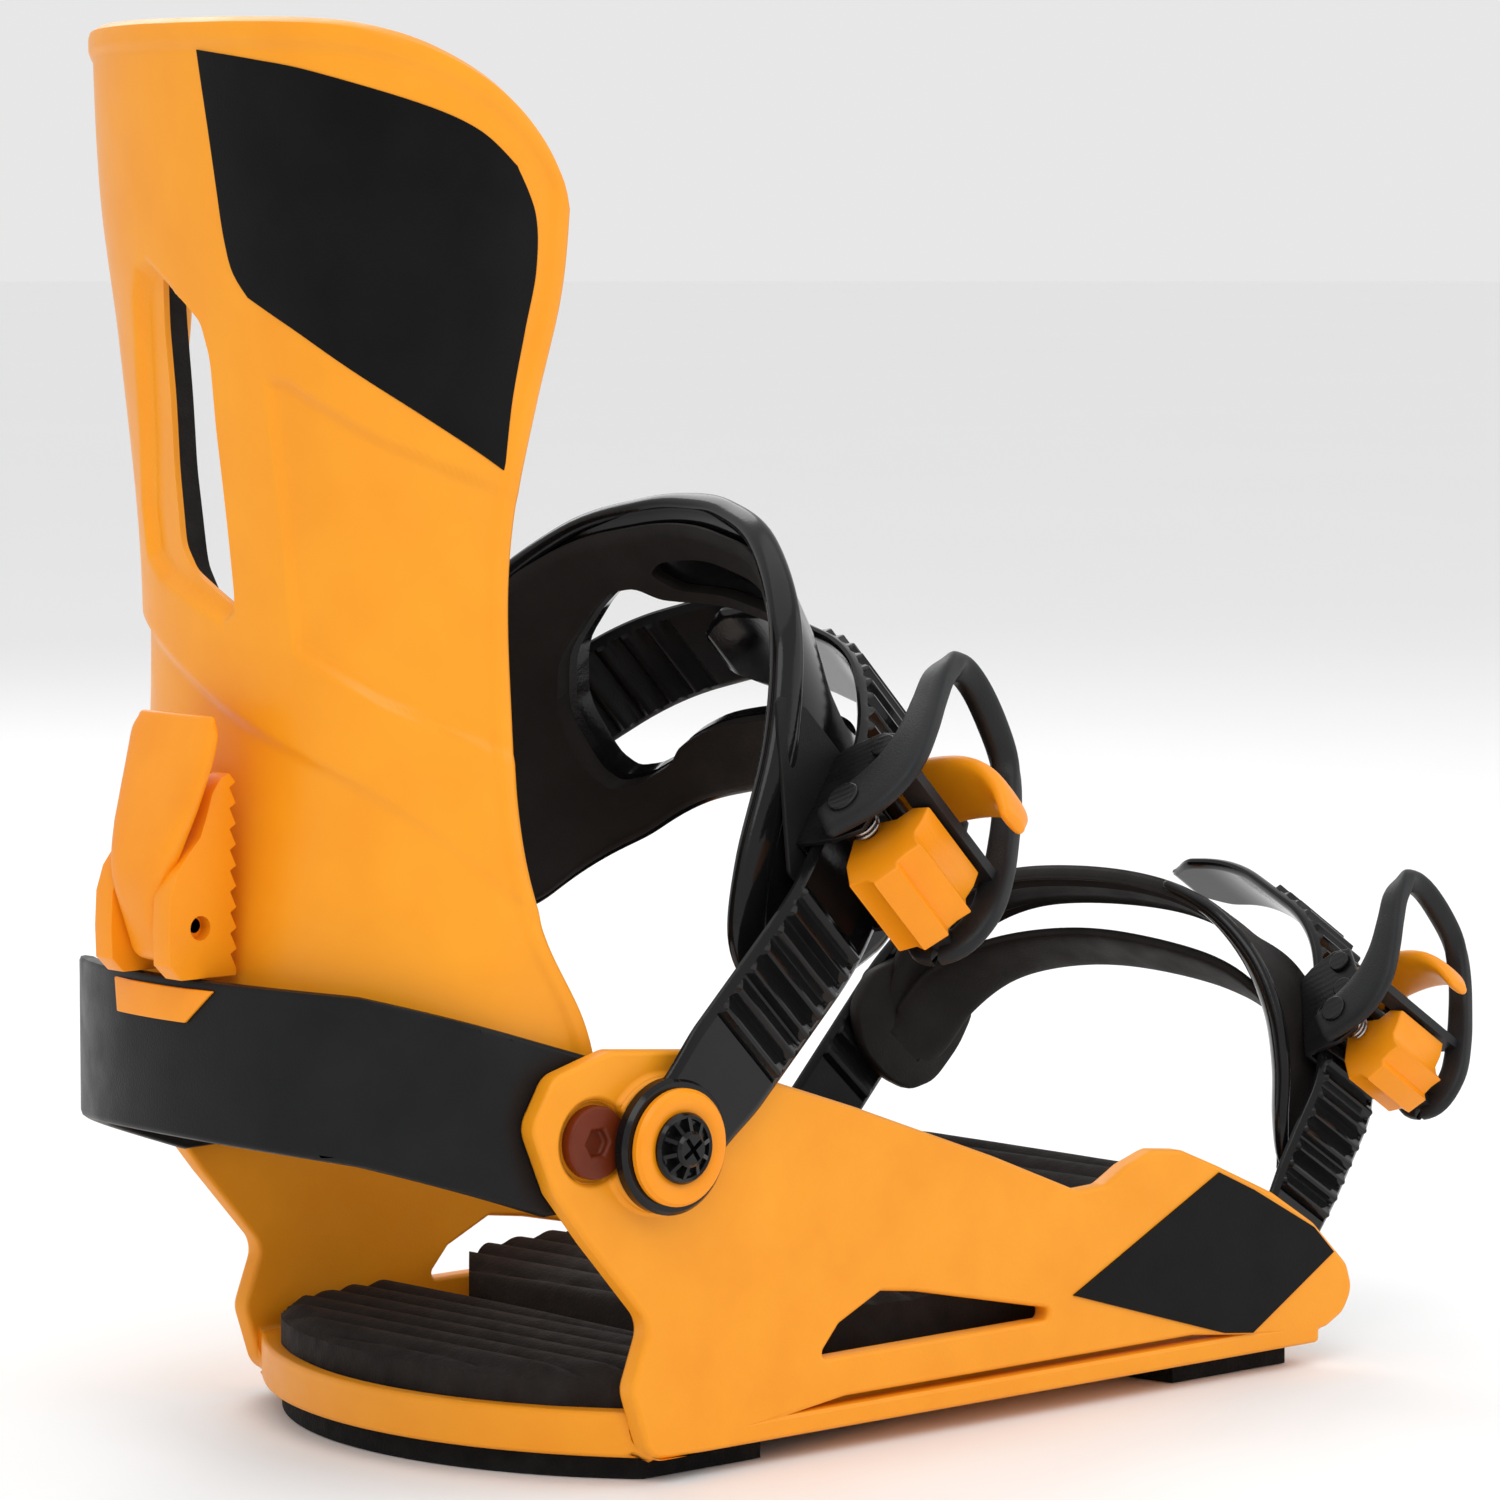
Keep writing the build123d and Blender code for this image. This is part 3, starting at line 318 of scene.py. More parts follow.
def back_at(s, z, side=None, setback=0.0, share=None):
    # the highback's outer surface at s millimetres from the rear centre line, or at a share of the way
    side = side or (1 if s >= 0 else -1)
    key = (round(z, 2), side, setback)
    if key not in SECTION_CACHE:
        SECTION_CACHE[key] = back_section(z, side, setback)
    points, length = SECTION_CACHE[key]
    along = abs(s) if share is None else share * length[-1]
    along = min(along, length[-1] - 1e-6)
    step = 0
    while length[step + 1] < along:
        step += 1
    t = (along - length[step]) / (length[step + 1] - length[step])
    (x0, y0), (x1, y1) = points[step], points[step + 1]
    out = Vector((-side * (y1 - y0), side * (x1 - x0), 0)).normalized()
    return Vector((x0 + t * (x1 - x0), y0 + t * (y1 - y0), z)), out, side * along


WINDOW = [
    (14, 245), (4.2, 240), (-1.5, 235.5), (-3.8, 228), (-4.2, 214), (-5.4, 200), (-7.4, 176.4), (3, 181.4),
    (10.5, 185), (14.6, 190), (15.6, 205), (15, 220), (15.4, 234),
]
CALF_WINDOW = [
    (15.5, 249), (-5, 243), (-7, 229), (-8, 200), (-11, 172), (2, 176), (9, 179), (14.5, 186), (16.9, 205),
    (16.4, 220), (16.6, 234),
]
WINDOW_LEDGE = [
    (16.3, 248), (21.5, 246), (24.5, 240), (25.8, 228), (27, 213), (29.8, 197), (28, 187), (20.3, 182.5),
    (8, 178.5), (-3, 174.5), (-7, 177), (-3, 200), (0, 236), (8, 243),
]
SUNK_PANEL = [
    (-19, 225), (-25, 224.5), (-45, 213), (-58, 207.5), (-90, 195), (-90, 138), (-63, 151), (-42, 159.5),
    (-22.5, 170),
]
LOWER_STEP = [(-90, 113), (-70, 124), (-50, 137.5), (-35, 145.5), (-5, 157), (18, 167.5), (35, 174), (90, 186)]


def back_relief(s, z, edge):
    # how far the outer face stands out: rolled rim, ledge beside the window, sunk panel, lower step
    rise = 0.9 * (1 - ease(edge, 4.4, 6.2))
    rise -= 2.6 * ease(inside_by(WINDOW_LEDGE, s, z), 0.0, 2.4)
    rise -= 1.3 * ease(inside_by(SUNK_PANEL, s, z), 0.0, 2.0) * ease(s, -78, -58)
    step = read(LOWER_STEP, s) - z
    rise -= (0.7 + 0.9 * ease(s, -60, 20)) * ease(step, -0.6, 2.4) * (1 - 0.8 * ease(step, 20, 60))
    return rise


def back_grid(columns, rows, outer, inner, trim, relief):
    # a closed wall between two offsets of the highback's surface
    faces_out, faces_in = [], []
    for column in range(columns + 1):
        share = 2 * column / columns - 1
        side = -1 if share < 0 else 1
        setback = FAR_SETBACK if side > 0 else 0
        ends = []
        for edge_rows, start in ((BOTTOM_EDGE, 90.0), (TOP_EDGE, 280.0)):
            z = start
            for _ in range(14):
                at = back_at(0, z, side, setback, abs(share))[0]
                z = 0.5 * z + 0.5 * read(edge_rows, at.x)
            ends.append(z)
        low, high = ends[0] + trim, ends[1] - trim
        for row in range(rows + 1):
            z = low + (high - low) * row / rows
            shrink = 1 - trim / 90
            at, out, s = back_at(0, z, side, setback, abs(share) * shrink)
            length = SECTION_CACHE[(round(z, 2), side, setback)][1][-1]
            edge = min(ends[1] - z, length - abs(s) + 0.4)
            rise = relief(s, z, edge) if relief else 0.0
            # the wall's edges are rolled over
            near = max(min(high - z, z - low, length * shrink - abs(s)), 0.0)
            wall = (outer - inner) / 2
            round_off = wall - sqrt(max(wall * wall - max(wall - near, 0) ** 2, 0))
            faces_out.append(at + out * (outer + rise - round_off))
            faces_in.append(at + out * (inner + round_off))
    count = (columns + 1) * (rows + 1)
    quads = []
    for column in range(columns):
        for row in range(rows):
            a = column * (rows + 1) + row
            b = a + rows + 1
            quads.append((a, a + 1, b + 1, b))
            quads.append((count + b, count + b + 1, count + a + 1, count + a))
    for column in range(columns):
        for row in (0, rows):
            a = column * (rows + 1) + row
            b = a + rows + 1
            quads.append((a, b, count + b, count + a) if row == 0 else (b, a, count + a, count + b))
    for row in range(rows):
        for column in (0, columns):
            a = column * (rows + 1) + row
            quads.append((a, count + a, count + a + 1, a + 1) if column == 0 else
                         (a, a + 1, count + a + 1, count + a))
    mesh = bpy.data.meshes.new("back_wall")
    mesh.from_pydata([point * MM for point in faces_out + faces_in], [], quads)
    mesh.update()
    return mesh


def cut(piece, cutter):
    # subtracts a solid and keeps the result
    modifier = piece.modifiers.new("cut", "BOOLEAN")
    modifier.operation = "DIFFERENCE"
    modifier.object = cutter
    modifier.solver = "EXACT"
    graph = bpy.context.evaluated_depsgraph_get()
    carved = bpy.data.meshes.new_from_object(piece.evaluated_get(graph))
    piece.modifiers.clear()
    piece.data = carved


def prism(outline, low, high, to_point):
    # a closed prism over an outline, with to_point(a, b, depth) giving its corners in millimetres
    count = len(outline)
    points = [to_point(a, b, depth) * MM for depth in (low, high) for a, b in outline]
    faces = [tuple(range(count))[::-1], tuple(range(count, 2 * count))]
    faces += [(i, (i + 1) % count, count + (i + 1) % count, count + i) for i in range(count)]
    mesh = bpy.data.meshes.new("prism")
    mesh.from_pydata(points, [], faces)
    form = bmesh.new()
    form.from_mesh(mesh)
    bmesh.ops.recalc_face_normals(form, faces=form.faces)
    form.to_mesh(mesh)
    form.free()
    return bpy.data.objects.new("prism", mesh)


def rounded(outline, steps=4, pull=0.22):
    # the outline with every corner cut back and rounded
    result = []
    for i, here in enumerate(outline):
        before, after = Vector(outline[i - 1]), Vector(outline[(i + 1) % len(outline)])
        corner = Vector(here)
        start, end = corner.lerp(before, pull), corner.lerp(after, pull)
        for step in range(steps + 1):
            t = step / steps
            result.append(tuple(start.lerp(corner, t).lerp(corner.lerp(end, t), t)))
    return result


def highback():
    shell = bpy.data.objects.new("highback_shell_formed",
                                 back_grid(210, 200, 0.0, -SHELL_WALL, 0.0, back_relief))
    bpy.context.scene.collection.objects.link(shell)
    window = prism(rounded(WINDOW), -175, -135, lambda y, z, x: Vector((x, y, z)))
    bpy.context.scene.collection.objects.link(window)
    cut(shell, window)
    calf = bpy.data.objects.new("calf_pad_formed",
                                back_grid(120, 110, -SHELL_WALL - 0.1, -SHELL_WALL - CALF_WALL, 9.0, None))
    bpy.context.scene.collection.objects.link(calf)
    wide = prism(rounded(CALF_WINDOW), -160, -120, lambda y, z, x: Vector((x, y, z)))
    bpy.context.scene.collection.objects.link(wide)
    cut(calf, wide)
    bpy.data.objects.remove(wide)
    bpy.data.objects.remove(window)
    for piece, material, slot, node_name in (
            (shell, ORANGE_BACK, "highback_orange", "highback_shell"), (calf, PADDING, "calf_foam", "calf_pad")):
        bpy.context.scene.collection.objects.unlink(piece)
        smooth_by_angle(piece.data, 42)
        finish_piece(piece, material, "highback", (node_name,))


INLAY_TOP = [(-5.7, 289.6), (-21, 287.6), (-36, 285), (-57, 279), (-70, 273.5), (-78.5, 266.5)]
INLAY_FRONT = [(-78.5, 266.5), (-82.6, 257), (-81.8, 246), (-77.8, 234), (-73.5, 220), (-70.6, 206)]
INLAY_BASE = [(-16.8, 240.5), (-24, 236.5), (-31.5, 232), (-48.7, 220.5), (-59, 213.5), (-70.6, 206)]
INLAY_BACK = [(-5.7, 289.6), (-8.6, 274), (-10.4, 262), (-11.6, 252), (-13.2, 245.5), (-16.8, 240.5)]


def along(line, t):
    place = min(int(t * (len(line) - 1)), len(line) - 2)
    share = t * (len(line) - 1) - place
    before = line[max(place - 1, 0)]
    after = line[min(place + 2, len(line) - 1)]
    here, there = line[place], line[place + 1]
    point = []
    for b, p, q, a in zip(before, here, there, after):
        point.append(0.5 * (2 * p + (q - b) * share + (2 * b - 5 * p + 4 * q - a) * share ** 2
                            + (3 * p - b - 3 * q + a) * share ** 3))
    return point


def inlay():
    # the dark inlay, laid on the shell's outer half between four edge lines
    count = 70
    outer, skirt = [], []
    for i in range(count + 1):
        for j in range(count + 1):
            u, v = i / count, j / count
            top, base = along(INLAY_TOP, u), along(INLAY_BASE, u)
            back, front = along(INLAY_BACK, v), along(INLAY_FRONT, v)
            point = []
            for k in (0, 1):
                corners = ((1 - u) * (1 - v) * INLAY_TOP[0][k] + u * (1 - v) * INLAY_TOP[-1][k]
                           + (1 - u) * v * INLAY_BASE[0][k] + u * v * INLAY_BASE[-1][k])
                point.append((1 - v) * top[k] + v * base[k] + (1 - u) * back[k] + u * front[k] - corners)
            at, out, s = back_at(point[0], point[1], -1)
            outer.append((at + out * 0.22) * MM)
            skirt.append((at - out * 0.5) * MM)
    line = count + 1
    quads = [(i * line + j, (i + 1) * line + j, (i + 1) * line + j + 1, i * line + j + 1)
             for i in range(count) for j in range(count)]
    total = line * line
    for k in range(count):
        for a, b in ((k * line, (k + 1) * line), ((k + 1) * line + count, k * line + count), (k + 1, k),
                     (count * line + k, count * line + k + 1)):
            quads.append((a, total + a, total + b, b))
    mesh = bpy.data.meshes.new("inlay")
    mesh.from_pydata(outer + skirt, [], quads)
    form = bmesh.new()
    form.from_mesh(mesh)
    bmesh.ops.delete(form, geom=[v for v in form.verts if not v.link_faces], context="VERTS")
    bmesh.ops.recalc_face_normals(form, faces=form.faces)
    form.to_mesh(mesh)
    form.free()
    smooth_by_angle(mesh, 50)
    piece = bpy.data.objects.new("highback_inlay", mesh)
    finish_piece(piece, PANEL, "highback", ("highback_panel",))


highback()
inlay()

# ---- helpers for formed pieces ----


def curve_through(rows, t):
    # a smooth curve through rows of numbers, t from 0 to 1
    place = min(int(t * (len(rows) - 1)), len(rows) - 2)
    share = t * (len(rows) - 1) - place
    before = rows[max(place - 1, 0)]
    after = rows[min(place + 2, len(rows) - 1)]
    point = []
    for b, p, q, a in zip(before, rows[place], rows[place + 1], after):
        point.append(0.5 * (2 * p + (q - b) * share + (2 * b - 5 * p + 4 * q - a) * share ** 2
                            + (3 * p - b - 3 * q + a) * share ** 3))
    return point


class Frame:
    # a turned and moved set of axes, in millimetres
    def __init__(self, origin, x_axis, y_axis, z_axis):
        self.origin = Vector(origin)
        self.axes = [Vector(axis) for axis in (x_axis, y_axis, z_axis)]

    def point(self, x, y, z):
        return self.origin + self.axes[0] * x + self.axes[1] * y + self.axes[2] * z


WORLD = Frame((0, 0, 0), (1, 0, 0), (0, 1, 0), (0, 0, 1))


def ribbon(name, stations, frame_of=WORLD, per=8, round_ends=(True, True), power=2.8, around=24, groove=None):
    # a strap or bar through stations of x, y, z, width direction (3), width and thickness
    total = (len(stations) - 1) * per
    spine = [curve_through(stations, step / total) for step in range(total + 1)]
    rings = []
    for step, here in enumerate(spine):
        ahead = spine[min(step + 1, total)]
        behind = spine[max(step - 1, 0)]
        forward = (frame_of.point(*ahead[:3]) - frame_of.point(*behind[:3])).normalized()
        across = frame_of.point(*here[3:6]) - frame_of.origin
        across = (across - forward * across.dot(forward)).normalized()
        rings.append((frame_of.point(*here[:3]), forward, across, here[6] / 2, here[7] / 2))
    shaped = []
    for step, (centre, forward, across, half_w, half_t) in enumerate(rings):
        if step == 0 and round_ends[0]:
            for k in range(4):
                a = pi / 2 * k / 4
                shaped.append((centre - forward * half_t * cos(a), across, forward.cross(across),
                               half_w - half_t * (1 - sin(a)) * 0.9, half_t * max(sin(a), 0.02)))
        shaped.append((centre, across, forward.cross(across), half_w, half_t))
        if step == total and round_ends[1]:
            for k in range(3, -1, -1):
                a = pi / 2 * k / 4
                shaped.append((centre + forward * half_t * cos(a), across, forward.cross(across),
                               half_w - half_t * (1 - sin(a)) * 0.9, half_t * max(sin(a), 0.02)))
    points = []
    for index, (centre, across, normal, half_w, half_t) in enumerate(shaped):
        for k in range(around):
            a = 2 * pi * k / around
            u = abs(cos(a)) ** (2 / power) * (1 if cos(a) >= 0 else -1)
            v = abs(sin(a)) ** (2 / power) * (1 if sin(a) >= 0 else -1)
            rise = groove(index / (len(shaped) - 1), u, v) if groove else 0.0
            points.append((centre + across * half_w * u + normal * (half_t * v + rise)) * MM)
    faces = []
    for ring_at in range(len(shaped) - 1):
        for k in range(around):
            a = ring_at * around + k
            b = ring_at * around + (k + 1) % around
            faces.append((a, b, b + around, a + around))
    faces.append(tuple(range(around))[::-1])
    faces.append(tuple(range((len(shaped) - 1) * around, len(shaped) * around)))
    return formed_mesh(name, points, faces)


def formed_mesh(name, points, faces):
    mesh = bpy.data.meshes.new(name)
    mesh.from_pydata(points, [], faces)
    form = bmesh.new()
    form.from_mesh(mesh)
    bmesh.ops.recalc_face_normals(form, faces=form.faces)
    form.to_mesh(mesh)
    form.free()
    return mesh


def moulding(name, outline, low, high, frame_of=WORLD, edge=0.8, segments=3, shear=None):
    # an outline in a frame's x and y made solid along its z, with rounded edges
    count = len(outline)
    points = [frame_of.point(x, y, depth) * MM for depth in (low, high) for x, y in outline]
    faces = [tuple(range(count))[::-1], tuple(range(count, 2 * count))]
    faces += [(i, (i + 1) % count, count + (i + 1) % count, count + i) for i in range(count)]
    mesh = formed_mesh(name, points, faces)
    form = bmesh.new()
    form.from_mesh(mesh)
    rim = [e for e in form.edges if max(len(f.verts) for f in e.link_faces) > 4]
    if edge:
        bmesh.ops.bevel(form, geom=rim, offset=edge * MM, segments=segments, profile=0.5, affect="EDGES",
                        clamp_overlap=True)
    bmesh.ops.triangulate(form, faces=[f for f in form.faces if len(f.verts) > 4])
    form.to_mesh(mesh)
    form.free()
    return mesh


def joined(name, meshes):
    # several closed shells as one piece
    form = bmesh.new()
    for mesh in meshes:
        form.from_mesh(mesh)
    whole = bpy.data.meshes.new(name)
    form.to_mesh(whole)
    form.free()
    return whole


def show(name, mesh, material, cad_node, replaced=True, angle=40):
    # a formed piece in place of its CAD node, or beside it
    smooth_by_angle(mesh, angle)
    piece = bpy.data.objects.new(name, mesh)
    return finish_piece(piece, material, BODY_OF[cad_node], (cad_node,) if replaced else ())


# ---- ratchets: levers, drive blocks and release tabs ----
ANKLE_RATCHET = Frame((-32.453, -64.5, 125.573), (0.6938, 0.2639, 0.6700), (0.1898, -0.9646, 0.1833),
                      (0.6947, 0, -0.7193))
TOE_RATCHET = Frame((128.103, -53.0, 69.275), (0.4702, 0.5045, 0.7241), (0.2748, -0.8634, 0.4231),
                    (0.8387, 0, -0.5446))
LEVER_PIN = (-4.0, 8.6)


def about_pin(points, size, turn):
    c, s = cos(radians(turn)), sin(radians(turn))
    return [((LEVER_PIN[0] + c * x - s * y) * size, (LEVER_PIN[1] + s * x + c * y) * size) for x, y in points]


def lever(label, frame_of, size, arm, turn):
    # one open loop: an arm from each end of the pin, meeting in a rounded tip, with a bar between them
    rows = [
        (-3.5, -2.6, -1, 8.5, 3.1), (-0.6, 0.8, -1, 10.6, 3.3), (3, 4.8, -1, 11.4, 3.5), (8.5, 7.6, -1, 10.2, 3.7),
        (15.5, 8.4, -1, 7.8, 3.9), (23, 7.8, -0.99, 6.4, 4.0), (30, 6.7, -0.93, 5.8, 4.2),
        (35.8, 5.6, -0.68, 5.4, 4.2), (37.0, 5.3, -0.28, 5.2, 4.2), (34.6, 5.8, 0.2, 5.2, 4.2),
        (30.5, 6.4, 0.64, 5.0, 4.0), (23.5, 7.4, 0.9, 5.2, 3.8), (15, 9.0, 1, 5.6, 3.7), (7, 10.6, 1.02, 6.2, 3.6),
        (-1, 11.2, 1.02, 6.6, 3.5), (-7.5, 8.4, 1, 7.0, 3.3), (-7.5, 2.6, 1, 7.4, 3.1), (-2.5, -0.6, 1, 7.6, 2.9),
    ]
    stations = []
    for index, (x, y, z, width, thick) in enumerate(rows):
        (px, py), = about_pin([(x, y)], size, turn)
        ahead, behind = rows[min(index + 1, len(rows) - 1)], rows[max(index - 1, 0)]
        run = Vector((ahead[0] - behind[0], ahead[1] - behind[1], (ahead[2] - behind[2]) * arm / size)).normalized()
        flat = Vector((-run.y, run.x, 0)) if abs(run.z) < 0.75 else Vector((-run.z * 0.9, 0.45, run.x))
        blend = ease(abs(run.z), 0.3, 0.8)
        in_side = Vector((-run.y, run.x, 0))
        if in_side.length < 0.05:
            in_side = Vector((0, 1, 0))
        in_side = in_side.normalized()
        if in_side.y < 0:
            in_side = -in_side
        flat = in_side * (1 - blend) + Vector((1, 0.35, 0)) * blend if z < -0.1 or index < 9 else (
            in_side * (1 - blend) + Vector((1, 0.35, 0)) * blend)
        turned = Vector((cos(radians(turn)) * flat.x - sin(radians(turn)) * flat.y,
                         sin(radians(turn)) * flat.x + cos(radians(turn)) * flat.y, 0))
        stations.append((px, py, z * arm, turned.x, turned.y, turned.z, width * size, thick * size))
    loop = ribbon(label + "_loop", stations, frame_of, per=7, power=3.0, around=28)
    middle = about_pin([(5.3, 6.4), (7.4, 6.6), (7.2, 11.6), (5.2, 11.6)], size, turn)
    bar = moulding(label + "_bar", middle, -arm * 0.98, arm, frame_of, 0.7)
    low = about_pin([(-9.6, 4.6), (-6.6, 3.6), (-5.6, 6.8), (-9.2, 8.6)], size, turn)
    foot = moulding(label + "_foot", low, -arm * 0.4, arm, frame_of, 0.8)
    return joined(label + "_lever", [loop, bar, foot])


def drive(label, frame_of, size, half, turn):
    # ridged block that turns with the lever and drives the ladder
    outline = [
        (-7.6, -2.2), (-12.2, 0.4), (-11.6, 3.8), (-12.8, 6.0), (-9.8, 10.0), (-8.2, 9.2), (-6.6, 10.4),
        (-4.9, 12.8), (-3.2, 11.0), (-1.4, 10.2), (1.4, 10.8), (4.4, 10.6), (4.8, 7.2), (2.6, 4.6), (2.2, -1.6),
        (-1.5, -3.2),
    ]
    return moulding(label + "_block", about_pin(outline, size, turn), -half + 3.4, half + 0.4, frame_of, 0.6, 3)


def release(label, frame_of, size):
    # curved thumb tab on the upper pin, wide at its root and hooked at its tip
    rows = [
        (12.0, 4.2, 1.5, 13.5, 3.4), (12.8, 8.2, 1.5, 14.5, 5.4), (13.4, 13.5, 1.5, 14.5, 4.8),
        (13.0, 19.0, 1.6, 14.2, 4.4), (11.2, 24.0, 1.8, 13.0, 4.0), (8.0, 27.6, 2.2, 10.5, 3.4),
        (4.6, 29.2, 2.6, 7.0, 2.6),
    ]
    stations = [(x * size, y * size, z * size, 0, 0, 1, w * size, t * size) for x, y, z, w, t in rows]
    return ribbon(label + "_release", stations, frame_of, per=7, power=2.8)


for label, frame_of, size, arm, half, turn in (
        ("ankle_ratchet", ANKLE_RATCHET, 1.2, 17.3, 12.0, 0), ("toe_ratchet", TOE_RATCHET, 1.0, 15.0, 10.0, 20)):
    show(label + "_lever_formed", lever(label, frame_of, size, arm, turn), LEVER, label + "_lever")
    show(label + "_drive_formed", drive(label, frame_of, size, half, turn), ORANGE_SOFT, label + "_drive")
    show(label + "_release_formed", release(label, frame_of, size), ORANGE_SOFT, label + "_release")

# ---- forward-lean adjuster ----
LEAN_FRAME = Frame((0, 0, 0), (1, 0, 0), (0, 0, 1), (0, 1, 0))       # x, height, then across


def lean_catch():
    # paddle lever: a narrow tongue in the block's slot, widening into a curved thumb plate
    rows = [
        (-165.2, 0, 110.6, 12.8, 6.6), (-167.0, 0, 117, 13.2, 7.4), (-168.8, 0, 123, 15.5, 6.4),
        (-169.0, -0.6, 128, 19.0, 5.4), (-168.0, -1.4, 133.5, 22.6, 4.6), (-166.4, -2.0, 139, 25.0, 4.2),
        (-164.8, -2.4, 144.5, 26.6, 3.9), (-163.4, -2.6, 149.5, 27.6, 3.6), (-162.4, -2.6, 153.5, 27.6, 3.2),
        (-161.8, -2.6, 156, 25.0, 2.6),
    ]
    stations = [(x, y, z, 0, 1, 0, w, t) for x, y, z, w, t in rows]
    return ribbon("lean_paddle", stations, WORLD, per=8, power=3.2, around=32)


def lean_housing():
    # two cheeks and a bridge, with rounded shoulders and a saw-toothed edge against the highback
    cheek = [(-154.9, 104.6), (-168.5, 104.6), (-171.4, 107.5), (-171.6, 114), (-171.2, 121), (-169.5, 126),
             (-166.5, 129.8), (-163.5, 133), (-162.0, 137), (-160.6, 141.5), (-158.4, 144.6), (-156.2, 145.4)]
    teeth = []
    for tooth in range(9):
        low = 143.6 - 4.2 * tooth
        teeth += [(-154.6, low), (-156.2, low - 1.0), (-154.8, low - 4.0)]
    outline = cheek + teeth
    cheeks = [moulding("cheek", outline, low, high, LEAN_FRAME, 0.6, 3) for low, high in ((-12.6, -7.0), (7.0, 12.6))]
    bridge = moulding("bridge", [(-155, 104.8), (-170.6, 104.8), (-170.8, 108.4), (-156.5, 108.4), (-156.2, 142),
                                 (-155, 142)], -8.5, 8.5, LEAN_FRAME, 0.4, 2)
    return joined("lean_housing", cheeks + [bridge])


def blind_hole(centre_x, centre_z, radius, mouth_y, depth):
    rim = [(centre_x + radius * cos(2 * pi * k / 24), centre_z + radius * sin(2 * pi * k / 24)) for k in range(24)]
    return bpy.data.objects.new("drill", moulding("drill", rim, mouth_y, mouth_y + depth, LEAN_FRAME, 0))


housing = lean_housing()
carved = bpy.data.objects.new("lean_block_formed", housing)
bpy.context.scene.collection.objects.link(carved)
drill = blind_hole(-163.8, 114.8, 2.5, -14, 4.6)
bpy.context.scene.collection.objects.link(drill)
cut(carved, drill)
bpy.data.objects.remove(drill)
bpy.context.scene.collection.objects.unlink(carved)
show("lean_block_formed", carved.data, ORANGE_SOFT, "lean_block")
bpy.data.objects.remove(carved)
show("lean_lever_formed", lean_catch(), ORANGE_SOFT, "lean_lever")

# ---- straps ----


def filleted(route, radii, fine=0.5):
    # a polyline with rounded corners, as evenly spaced points
    points = [Vector(route[0])]
    for index in range(1, len(route) - 1):
        here, before, after = Vector(route[index]), Vector(route[index - 1]), Vector(route[index + 1])
        back, onward = (before - here).normalized(), (after - here).normalized()
        half_turn = back.angle(onward) / 2
        reach = radii[min(index - 1, len(radii) - 1)] / tan(half_turn)
        reach = min(reach, 0.49 * (before - here).length, 0.49 * (after - here).length)
        start, end = here + back * reach, here + onward * reach
        for step in range(17):
            t = step / 16
            points.append(start.lerp(here, t).lerp(here.lerp(end, t), t))
    points.append(Vector(route[-1]))
    length = [0.0]
    for a, b in zip(points, points[1:]):
        length.append(length[-1] + (b - a).length)
    spaced = []
    count = int(length[-1] / fine)
    at = 0
    for step in range(count + 1):
        wanted = length[-1] * step / count
        while at < len(points) - 2 and length[at + 1] < wanted:
            at += 1
        share = (wanted - length[at]) / max(length[at + 1] - length[at], 1e-9)
        spaced.append(points[at].lerp(points[at + 1], min(share, 1)))
    return spaced, length[-1] / count


def saw(place, pitch):
    # a tooth: steep front, flat crest, sloping back
    t = (place / pitch) % 1.0
    if t < 0.2:
        return t / 0.2
    if t < 0.34:
        return 1.0
    return max((0.94 - t) / 0.6, 0.0)


def strip(name, frame_of, route, radii, width, thick, start, teeth, both_faces, taper=10.0, clear_of=None):
    # a strap whose centre line is drawn in the frame's x and y; teeth: first, last, pitch, height;
    # the teeth stay low under the drive block that turns about clear_of
    path, fine = filleted(route, radii)
    first, last, pitch, height = teeth
    path = path[int(start / fine):]
    facing = 1 if route[0][0] > 0 else -1
    half, thin = width / 2, thick / 2
    face = [-1, -0.9, -0.86, -0.3, 0.3, 0.86, 0.9, 1]
    points, rings = [], 0
    for index, here in enumerate(path):
        place = start + index * fine
        left = (len(path) - 1 - index) * fine
        run = (path[min(index + 1, len(path) - 1)] - path[max(index - 1, 0)]).normalized()
        out = Vector((run.y, -run.x)) * facing
        narrow = 1.0 - 0.55 * (1 - ease(left, -2, taper)) - 0.10 * (1 - ease(place, start, start + 14))
        slim = 1.0 - 0.65 * (1 - ease(left, -0.5, 2.0))
        rise = saw(place - first, pitch) * height if first < place < last else 0.0
        if clear_of:
            rise *= ease((frame_of.point(here.x, here.y, 0) - clear_of).length, 17, 20)
        sink = 0.7 if first < place < last else 0.0
        section = []
        for u in face:
            lifted = (rise - sink) if abs(u) < 0.88 else 0.0
            section.append((u, thin * slim + lifted * slim - (0.5 if abs(u) == 1 else 0)))
        section += [(1.04, 0.3 * thin), (1.04, -0.3 * thin)]
        for u in reversed(face):
            lifted = (rise - sink) if both_faces and abs(u) < 0.88 else 0.0
            section.append((u, -thin * slim - lifted * slim + (0.5 if abs(u) == 1 else 0)))
        section += [(-1.04, -0.3 * thin), (-1.04, 0.3 * thin)]
        for u, depth in section:
            flat = here + out * depth
            points.append(frame_of.point(flat.x, flat.y, u * half * narrow) * MM)
        rings += 1
    around = len(section)
    faces = []
    for ring_at in range(rings - 1):
        for k in range(around):
            a = ring_at * around + k
            b = ring_at * around + (k + 1) % around
            faces.append((a, b, b + around, a + around))
    faces.append(tuple(range(around))[::-1])
    faces.append(tuple(range((rings - 1) * around, rings * around)))
    return formed_mesh(name, points, faces)


